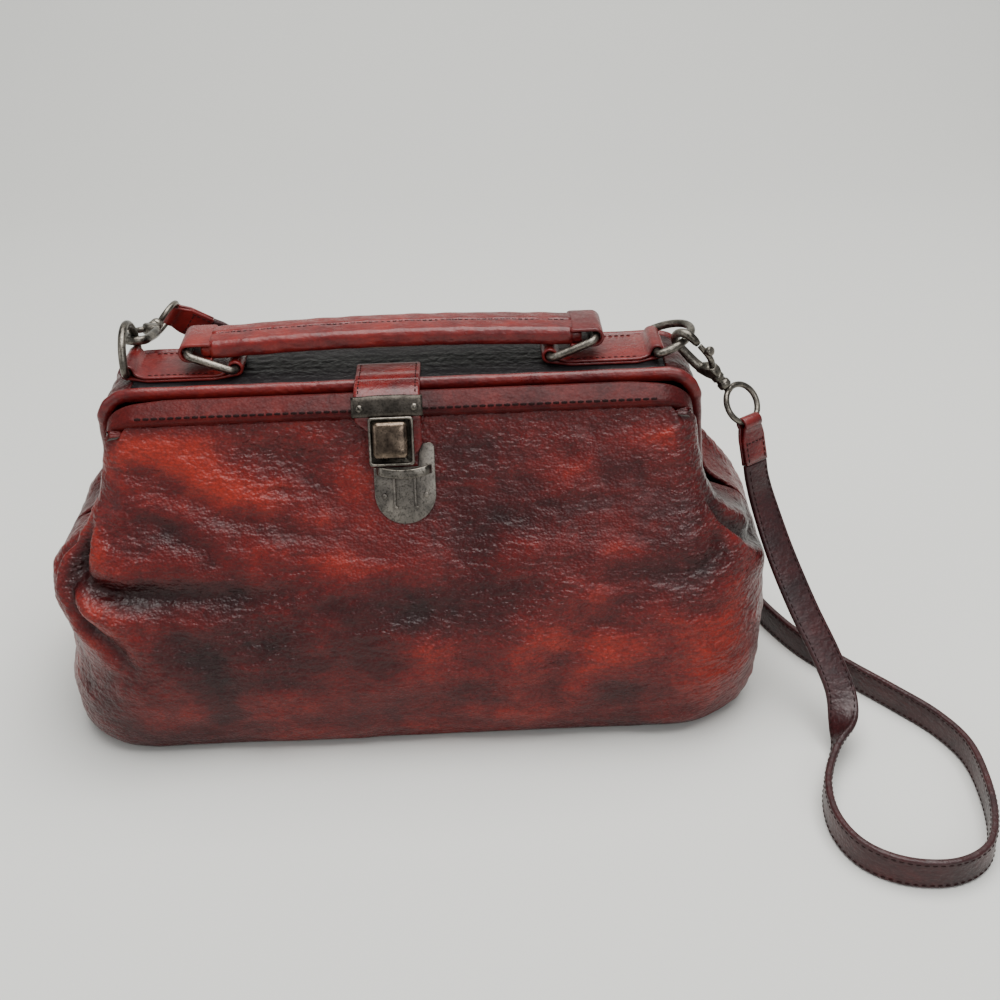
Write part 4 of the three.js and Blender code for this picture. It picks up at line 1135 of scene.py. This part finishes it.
def make_handle():
    half = HANDLE["half_length"] - HANDLE["wrap"] - 0.3
    width, thick = HANDLE["width"] / 2, HANDLE["thick"] / 2
    path = [point(FITTINGS_X + x, 0, BAR_Z + crown(x) - crown(half)) for x in np.linspace(-half, half, 90)]

    def section(i):
        """A padded strap: flat below, full above, its two edges meeting in a seam along the top."""
        outline = []
        for a, b in fine_section(width, thick):
            if b > 0:
                b += 0.9 * (1 - (a / width) ** 2) - 0.9 * math.exp(-(a / 1.1) ** 2)
            a += 0.22 * math.sin(i * 0.55) * (b / thick)
            outline.append((a, b + 0.10 * math.sin(i * 0.8 + a * 0.5)))
        return outline

    piece("handle_leather", sweep(path, Y_AXIS, section), TRIM, "handle", ["handle_cover"])
    threads = []
    top = [p + Z_AXIS * (thick + 0.15) for p in path]
    for centre, direction, _ in along(top, 3.1, 3, 3):
        for turn in (-1, 1):
            lean = (direction + Y_AXIS * 0.9 * turn).normalized()
            threads.append(stitch(centre, lean, Z_AXIS, 3.9, 0.3))
    piece("handle_cross_stitches", join(*threads), THREAD, "handle")
    for side, sign in (("left", -1), ("right", 1)):
        make_handle_end(side, sign, thick)


def fine_section(half_width, half_thick):
    """The padded handle's outline: round edges, and many points across its faces."""
    corner, across = 3.4, 24
    outline = []
    for sx, sy, start in ((1, 1, 0), (-1, 1, 90), (-1, -1, 180), (1, -1, 270)):
        for i in range(6):
            turn = math.radians(start + 18 * i)
            outline.append((sx * (half_width - corner) + corner * math.cos(turn),
                            sy * (half_thick - corner) + corner * math.sin(turn)))
        if start in (0, 180):
            sign = 1 if start == 0 else -1
            flat = half_width - corner
            outline += [(sign * flat * (1 - 2 * i / across), sy * half_thick) for i in range(1, across)]
    return outline


def make_handle_end(side, sign, thick):
    """A wide leather loop that holds the ring's upper bar and is folded back over the handle."""
    skin = 1.7
    inner = BAR_X - 1.2
    outer = HANDLE["half_length"] - thick + 0.2
    back = HANDLE["half_length"] - HANDLE["wrap"] - 1
    radius = thick - skin / 2 + 0.35
    line = [(back, radius - 0.5), (back + 1.2, radius)]
    line += [(mix(back + 2.5, outer, i / 5), radius) for i in range(5)]
    line += [(outer + radius * math.cos(t), radius * math.sin(t)) for t in np.radians(np.linspace(90, -90, 15))]
    line += [(mix(outer, back + 2.5, i / 5), -radius) for i in range(1, 6)]
    line += [(back + 1.2, -radius), (back, -radius + 0.5)]
    path = [point(FITTINGS_X + sign * x, 0, BAR_Z + z) for x, z in line]
    loop = sweep(path, Y_AXIS, strip_section(HANDLE["width"] / 2 + 0.6, skin / 2, 0.7))
    plug = []
    for x in (back - 2, back + 0.5, inner - 6.6, inner - 5.4):
        shrink = 0.6 if x > inner - 6 else 0
        outline = strip_section(HANDLE["width"] / 2 - 0.8 - shrink, thick - skin - 0.1 - shrink, 1.6, 4)
        plug.append([point(FITTINGS_X + sign * x, a, BAR_Z + b) for a, b in outline])
    piece("handle_end_leather_" + side, join(loop, loft(plug)), TRIM, "handle", ["handle_end_" + side])


make_handle()


# ---------- latch ----------

WALL_SLOPE = math.atan2(17, 40)  # how the upper front wall leans back under the latch
ON_WALL = Matrix.Translation((0, -49, 160)) @ Matrix.Rotation(-WALL_SLOPE, 4, "X")
TAB_LINE = [(-30.6, 190.6), (-38, 190.6), (-43.6, 188), (-47.2, 182.2), (-47.5, 177.7), (-49.4, 168.8),
            (-53.4, 157.6)]


def make_tab():
    """The leather tab over the lid's edge, its sewn root on the lid, and the tongue behind the metal."""
    thick = 2.2
    curve = spline([(0, y, z) for y, z in TAB_LINE], 48)
    total = lengths(curve)

    def section(i):
        part = smooth(178 - curve[i].z, 0, 8)
        half = mix(16.5, 13, part)
        left = total[-1] - total[i]
        half *= math.sqrt(max(1 - max(9 - left, 0) ** 2 / 90, 0.03))
        shift = mix(TAB_X, TONGUE_X, part)
        return [(a + shift, b) for a, b in wide_section(half, thick / 2, 20)]

    piece("latch_tab_leather", sweep(curve, X_AXIS, section), TRIM, "latch", ["latch_tab"])
    joint_y, joint_z = TAB_LINE[0]
    root_line = [(-7.5, 189.9), (-14, 189.9), (-19.5, 190.0), (-24.5, 190.75), (joint_y + 0.3, joint_z)]
    root = spline([(0, y, z) for y, z in root_line], 20)
    flat = [(a + TAB_X, b) for a, b in wide_section(16.5, thick / 2, 20)]
    piece("latch_tab_root_leather", sweep(root, X_AXIS, flat), TRIM, "lower_bag", ["latch_tab_root"])
    runs = (("tab", curve, "latch", 0.5, 33), ("root", root, "lower_bag", 1.0, 0.2))
    for name, line, body, first, last in runs:
        threads = []
        for edge in (-1, 1):
            path = [p + X_AXIS * (TAB_X + edge * 14.3) for p in line]
            for centre, direction, _ in along(path, 3.0, first, last):
                out = direction.cross(X_AXIS)
                out = out if out.dot(Vector((0, -1, 1))) > 0 else -out
                threads.append(stitch(centre + out * thick / 2, direction, out, 2.1, 0.33))
        piece("latch_" + name + "_stitches", join(*threads), THREAD, body)
    make_clip(curve, thick)


def make_clip(curve, thick):
    """The dark metal clip bent over the tab, with a bowed upper edge and two domed rivets."""
    place = [0.34, 0.36, 0.4, 0.46, 0.52, 0.56, 0.58]
    rows, columns = len(place), 25
    half = 17.8
    gap, plate = 0.45, 1.2
    total = len(curve) - 1

    def at(t):
        k = min(int(t * total), total - 1)
        here = curve[k].lerp(curve[k + 1], t * total - k)
        direction = (curve[k + 1] - curve[k]).normalized()
        out = direction.cross(X_AXIS)
        return here, (out if out.dot(Vector((0, -1, 0.3))) > 0 else -out)

    verts = []
    for lift, is_outer in ((gap + plate, True), (gap, False)):
        for i, t in enumerate(place):
            for j in range(columns):
                a = mix(-half, half, j / (columns - 1))
                here, out = at(t - 0.010 * (1 - (a / half) ** 2))
                dip = 0.25 if is_outer and (i in (0, rows - 1) or j in (0, columns - 1)) else 0
                verts.append(here + X_AXIS * (TAB_X + a * (1 - dip * 0.02)) + out * (thick / 2 + lift - dip))
    under = rows * columns
    faces = grid_faces(rows, columns)
    faces += [tuple(i + under for i in face) for face in faces]
    rim = list(range(columns)) + [i * columns + columns - 1 for i in range(1, rows)]
    rim += [(rows - 1) * columns + j for j in range(columns - 2, -1, -1)]
    rim += [i * columns for i in range(rows - 2, 0, -1)]
    faces += [(a, b, b + under, a + under) for a, b in zip(rim, rim[1:] + rim[:1])]
    piece("clip_plate_metal", (verts, faces), DARK_METAL, "latch", ["clip_plate"])
    for side, sign in (("left", -1), ("right", 1)):
        here, out = at(0.46)
        base = here + X_AXIS * (TAB_X + sign * 13.6) + out * (thick / 2 + gap + plate)
        turn = Matrix.Translation(base) @ out.to_track_quat("X", "Z").to_matrix().to_4x4()
        dome = lathe([(-0.3, 1.9), (0.25, 1.9), (0.7, 1.65), (1.0, 1.2), (1.2, 0.6), (1.25, 0.0)], 20)
        piece("clip_rivet_dome_" + side, moved(dome, turn), METAL, "latch", ["clip_rivet_" + side])


make_tab()


def make_hasp():
    """A shallow metal tray round a pillow-shaped button."""
    half_x, half_z = 11.3, 12.2
    centre = (HASP_X, 5.9)
    steps = [(0.6, -7.0), (0.0, -7.5), (0.0, -9.9), (0.4, -10.35), (0.9, -10.35), (1.3, -10.0), (1.45, -7.6)]
    tray = [rect_ring(half_x - inset, half_z - inset, 1.5, y, centre) for inset, y in steps]
    piece("hasp_tray", moved(loft(tray), ON_WALL), METAL, "latch", ["hasp_frame"])
    steps = [(0.3, -9.6), (0.0, -10.2), (0.2, -11.2), (0.8, -12.0), (1.9, -12.5), (3.8, -12.8), (6.0, -12.95),
             (8.2, -13.0)]
    button = [rect_ring(8.7 - inset, 9.2 - inset, max(2.2 - 0.25 * inset, 0.3), y, (HASP_X - 0.5, 6.6))
              for inset, y in steps]
    piece("latch_button_pillow", moved(loft(button), ON_WALL), DARK_BRASS, "button", ["latch_button"])


make_hasp()


def make_lock():
    """The lower plate on the wall: round below, an ear at its upper right, and two hooked ribs."""
    half = 15.5
    round_z = -21
    right = LOCK_X + half
    outline = [(LOCK_X - half, -7.5), (LOCK_X - half, round_z)]
    outline += [(LOCK_X + half * math.cos(t), round_z + half * math.sin(t))
                for t in np.radians(np.linspace(183, 357, 40))]
    outline += [(right, round_z), (right, 1.5)]
    outline += [(right - 2.8 + 2.8 * math.cos(t), 1.5 + 2.8 * math.sin(t)) for t in np.radians((15, 35, 55, 75, 90))]
    outline += [(right - 5.5, 3.9), (right - 7.4, 1.6), (right - 8, -2), (right - 8.4, -7.5)]
    plate = outline_plate(outline, -1.5, -0.35, 0.35)
    ribs = []
    for x in (-5.5, 5):
        line = [(0, -11.5, -2.0), (0, -13.5, -2.3), (0, -20, -2.35), (0, -26.5, -2.3), (0.3, -27.8, -2.2),
                (1.8, -28.4, -1.9)]
        route = spline([(LOCK_X + x + a, y, z) for a, z, y in line], 30)
        ribs.append(tube(route, 0.75, Y_AXIS, 12))
    plate = moved(join(plate, *ribs), ON_WALL)
    piece("lock_plate_metal", plate, PLATE_METAL, "front_mouth", ["lock_plate"])
    for side, x in (("left", -10.5), ("right", 10.5)):
        seat = ON_WALL @ Matrix.Translation((LOCK_X + x, -1.5, -22)) @ Matrix.Rotation(-math.pi / 2, 4, "Z")
        dome = lathe([(-0.2, 1.5), (0.3, 1.5), (0.7, 1.2), (0.95, 0.7), (1.0, 0.0)], 18)
        piece("lock_rivet_dome_" + side, moved(dome, seat), PLATE_METAL, "front_mouth",
              ["lock_rivet_" + side])
    make_keeper()


def make_keeper():
    """The bar that the hasp closes behind: a staple bowed a little outwards."""
    half = 12.9
    path = [point(-half, -1.7, 0), point(-half, -5.4, 0), point(-half + 0.3, -7.2, 0), point(-half + 1.1, -8.3, 0)]
    path += [point(x, -8.7 - 0.9 * (1 - (x / half) ** 2), -1.9 * (1 - (x / half) ** 2))
             for x in np.linspace(-half + 2.4, half - 2.4, 14)]
    path += [point(-p.x, p.y, 0) for p in reversed(path[:4])]
    path = [p + point(LOCK_X, 0, -8.7) for p in path]
    bar = sweep(path, Z_AXIS, strip_section(2.2, 0.95, 0.5))
    piece("keeper_bar_metal", moved(bar, ON_WALL), METAL, "front_mouth", ["keeper_bar"])


make_lock()


# ---------- clips of the shoulder strap ----------

# The two clips as they hang: where each hook holds its D-ring, and the directions of its parts.
CLIPS = {
    "left": dict(origin=(-139.61, 17.22, 200.46), down=(0.1511, 0.9769, -0.1511), wire=(0.0623, 0.1431, 0.9877),
                 across=(0.5728, 0.038, 0.8188), end=(-130.97, 71.64, 192.38), fall=(0.8071, 0.2018, -0.5549),
                 width=(0.5665, 0, 0.824)),
    "right": dict(origin=(148.27, -12.14, 197.99), down=(0.66, -0.13, -0.74), wire=(-0.5793, -0.7152, -0.391),
                  across=(0.5633, 0.7374, 0.3728), end=(181.66, -22.68, 155.85), fall=(0.1497, -0.1997, -0.9684),
                  width=(0.8, 0.6, 0)),
}


def frame_at(origin, direction, side):
    """A placement with local X along one direction and local Z along another made square to it."""
    x = Vector(direction).normalized()
    z = Vector(side)
    z = (z - x * z.dot(x)).normalized()
    y = z.cross(x)
    turn = Matrix((x, y, z)).transposed().to_4x4()
    return Matrix.Translation(origin) @ turn


def make_hook(side, clip):
    """A cast snap hook: round nose, wide body and a turned barrel."""
    place = frame_at(clip["origin"], clip["down"], clip["wire"])
    bend = HOOK["bend"]
    path = [point(4.2, bend + 0.1, 0), point(2.2, bend + 0.1, 0)]
    path += [point(bend * math.cos(t), bend * math.sin(t), 0) for t in np.linspace(math.pi / 2, 1.5 * math.pi, 22)]
    path += [point(4, -bend, 0), point(9, -bend, 0), point(13.5, -bend + 0.3, 0), point(17, -bend + 1.4, 0),
             point(20.5, -bend + 3.6, 0), point(23.5, -1.2, 0)]
    sizes = [1.5, 2.0] + [2.15] * 22 + [2.25, 2.4, 2.5, 2.5, 2.4, 2.2]
    shank = sweep(path, Z_AXIS, lambda i: [(a * sizes[i] * 1.12, b * sizes[i]) for a, b in ring_section(1.0, 16)])
    body = []
    for x, low, high, half in ((15.2, -7.2, -4.2, 2.4), (17.0, -7.0, 1.0, 3.0), (19.4, -5.6, 3.6, 3.1),
                               (21.8, -4.4, 4.0, 3.0), (24.0, -3.2, 3.4, 2.6), (25.2, -2.4, 2.4, 2.2)):
        corner = min(1.3, (high - low) / 2.2)
        outline = strip_section(half, (high - low) / 2, corner, 4)
        body.append([point(x, (high + low) / 2 + b, a) for a, b in outline])
    barrel = lathe([(23.6, 2.0), (24.4, 3.0), (25.0, 3.35), (26.6, 3.35), (27.1, 2.7), (28.6, 2.6), (29.1, 3.2),
                    (29.6, 3.5), (31.8, 3.5), (32.5, 3.1), (32.9, 2.2), (33.0, 0.0)], 24)
    hook = moved(join(shank, loft(body), barrel), place)
    piece("snap_hook_cast_" + side, hook, METAL, "clip_" + side, ["snap_hook_" + side])
    gate_line = [(5.2, bend + 0.15), (8, bend + 0.2), (12, bend), (15.2, bend - 0.9), (18.3, 3.1)]
    gate_path = spline([(x, y, 0) for x, y in gate_line], 24)
    thick = [mix(1.45, 1.75, i / 24) for i in range(25)]
    lever = sweep(gate_path, Z_AXIS, lambda i: [(a * thick[i], b * thick[i]) for a, b in ring_section(1.0, 14)])
    stud = lathe([(-0.4, 1.5), (1.5, 1.5), (1.9, 2.3), (2.3, 2.5), (3.9, 2.5), (4.4, 2.2), (4.6, 1.4),
                  (4.7, 0.0)], 20)
    stud = moved(stud, Matrix.Translation((9.4, bend + 0.4, 0)) @ Matrix.Rotation(math.radians(74), 4, "Z"))
    gate = moved(join(lever, stud), place)
    piece("hook_gate_lever_" + side, gate, METAL, "gate_" + side, ["hook_gate_" + side])


def make_swivel(side, clip):
    """The ring that the strap hangs from, on its post in the hook's barrel."""
    place = frame_at(clip["origin"], clip["down"], clip["across"])
    start = HOOK["neck"] + HOOK["barrel"] + 0.3
    radius = EYE["radius"]
    centre = start + EYE["wire"] + radius
    steps = [(-0.1, 0.0), (0, 2.2), (0.9, 2.5), (1.8, 2.4), (2.6, 1.9), (3.0, 1.0)]
    post = lathe([(start + x, size) for x, size in steps], 20)
    ring = [point(centre - radius * math.cos(t), 0, radius * math.sin(t)) for t in around(44)]
    swivel = moved(join(post, sweep(ring, Y_AXIS, ring_section(EYE["wire"], 16), closed=True)), place)
    piece("swivel_ring_wire_" + side, swivel, METAL, "clip_" + side, ["swivel_ring_" + side])


def make_strap_end(side, clip):
    """The strap's end, thinned, folded round the ring and sewn back on itself."""
    place = frame_at(clip["end"], clip["fall"], clip["width"])
    layer = 1.75
    radius = EYE["wire"] + 0.45 + layer / 2
    tail = 22
    flat = 1.3
    turn_from = math.degrees(math.asin(min(flat / radius, 0.95))) + 16
    run = [(tail, flat), (tail - 3, flat), (15, flat), (11, flat), (8, flat + 0.15), (5.2, flat + 0.5)]
    bend = [(radius * math.cos(t), radius * math.sin(t))
            for t in np.radians(np.linspace(turn_from, 360 - turn_from, 26))]
    path = [point(x, y, 0) for x, y in run + bend + [(x, -y) for x, y in reversed(run)]]

    def section(i):
        half = mix(6.2, STRAP["width"] / 2, smooth(path[i].x, 1, 9))
        return strip_section(half, layer / 2, 0.7)

    fold = moved(sweep(path, Z_AXIS, section), place)
    threads = []
    for face in (-1, 1):
        surface = face * (flat + layer / 2)
        out = point(0, face, 0)
        for edge in (-STITCH_LINE, STITCH_LINE):
            threads += seam([point(x, surface, edge) for x in (9, 15, 21.5)], 3.0, out, 2.3, 0.32)
        threads += seam([point(10.5, surface, z) for z in (-5.6, 0, 5.6)], 2.8, out, 2.1, 0.32)
    piece("strap_end_leather_" + side, fold, TRIM, "clip_" + side, ["strap_end_" + side])
    piece("strap_end_stitches_" + side, moved(join(*threads), place), THREAD, "clip_" + side)


for clip_side, clip_place in CLIPS.items():
    make_hook(clip_side, clip_place)
    make_swivel(clip_side, clip_place)
    make_strap_end(clip_side, clip_place)


# ---------- CAD nodes that stay ----------

for node, material in (("front_frame", STEEL), ("rear_frame", STEEL), ("hinge_pin_left", METAL),
                       ("hinge_pin_right", METAL), ("base_board", BOARD), ("handle_core", BOARD)):
    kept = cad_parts[node]
    kept.data.materials.clear()
    kept.data.materials.append(material)


# ---------- floor and light ----------

def make_stage():
    """A pale sweep: a floor that curves up into a wall far behind."""
    bend = [(0.9 + 0.9 * math.sin(t), 0.9 - 0.9 * math.cos(t)) for t in np.linspace(0.15, math.pi / 2, 12)]
    line = [(-9, 0), (0, 0), (0.9, 0)] + bend + [(1.8, 5)]
    mesh = bpy.data.meshes.new("floor")
    mesh.from_pydata([(x, y, z) for y, z in line for x in (-9, -3, 0, 3, 9)], [], grid_faces(len(line), 5))
    mesh.polygons.foreach_set("use_smooth", [True] * len(mesh.polygons))
    mesh.materials.append(FLOOR)
    link("floor", mesh)


def area_light(name, place, size, power, colour=(1, 1, 1)):
    """A soft light aimed at the middle of the bag."""
    data = bpy.data.lights.new(name, "AREA")
    data.shape = "RECTANGLE"
    data.size, data.size_y = size
    data.energy = power
    data.color = colour
    light = link(name, data)
    direction = Vector((0, 0, 0.1)) - Vector(place)
    light.matrix_world = Matrix.Translation(place) @ direction.to_track_quat("-Z", "Y").to_matrix().to_4x4()


make_stage()
area_light("overhead_soft", (0.2, 0.0, 1.7), (1.8, 1.5), 56, (1.0, 0.99, 0.97))
area_light("window_front", (0.75, -1.7, 1.15), (0.9, 0.6), 9, (0.97, 0.99, 1.0))
area_light("fill_left", (-1.6, -0.8, 0.9), (1.0, 1.0), 5)
world = bpy.data.worlds.new("studio")
world.use_nodes = True
background = world.node_tree.nodes["Background"]
background.inputs["Color"].default_value = (0.97, 0.98, 1.0, 1)
background.inputs["Strength"].default_value = 0.4
bpy.context.scene.world = world
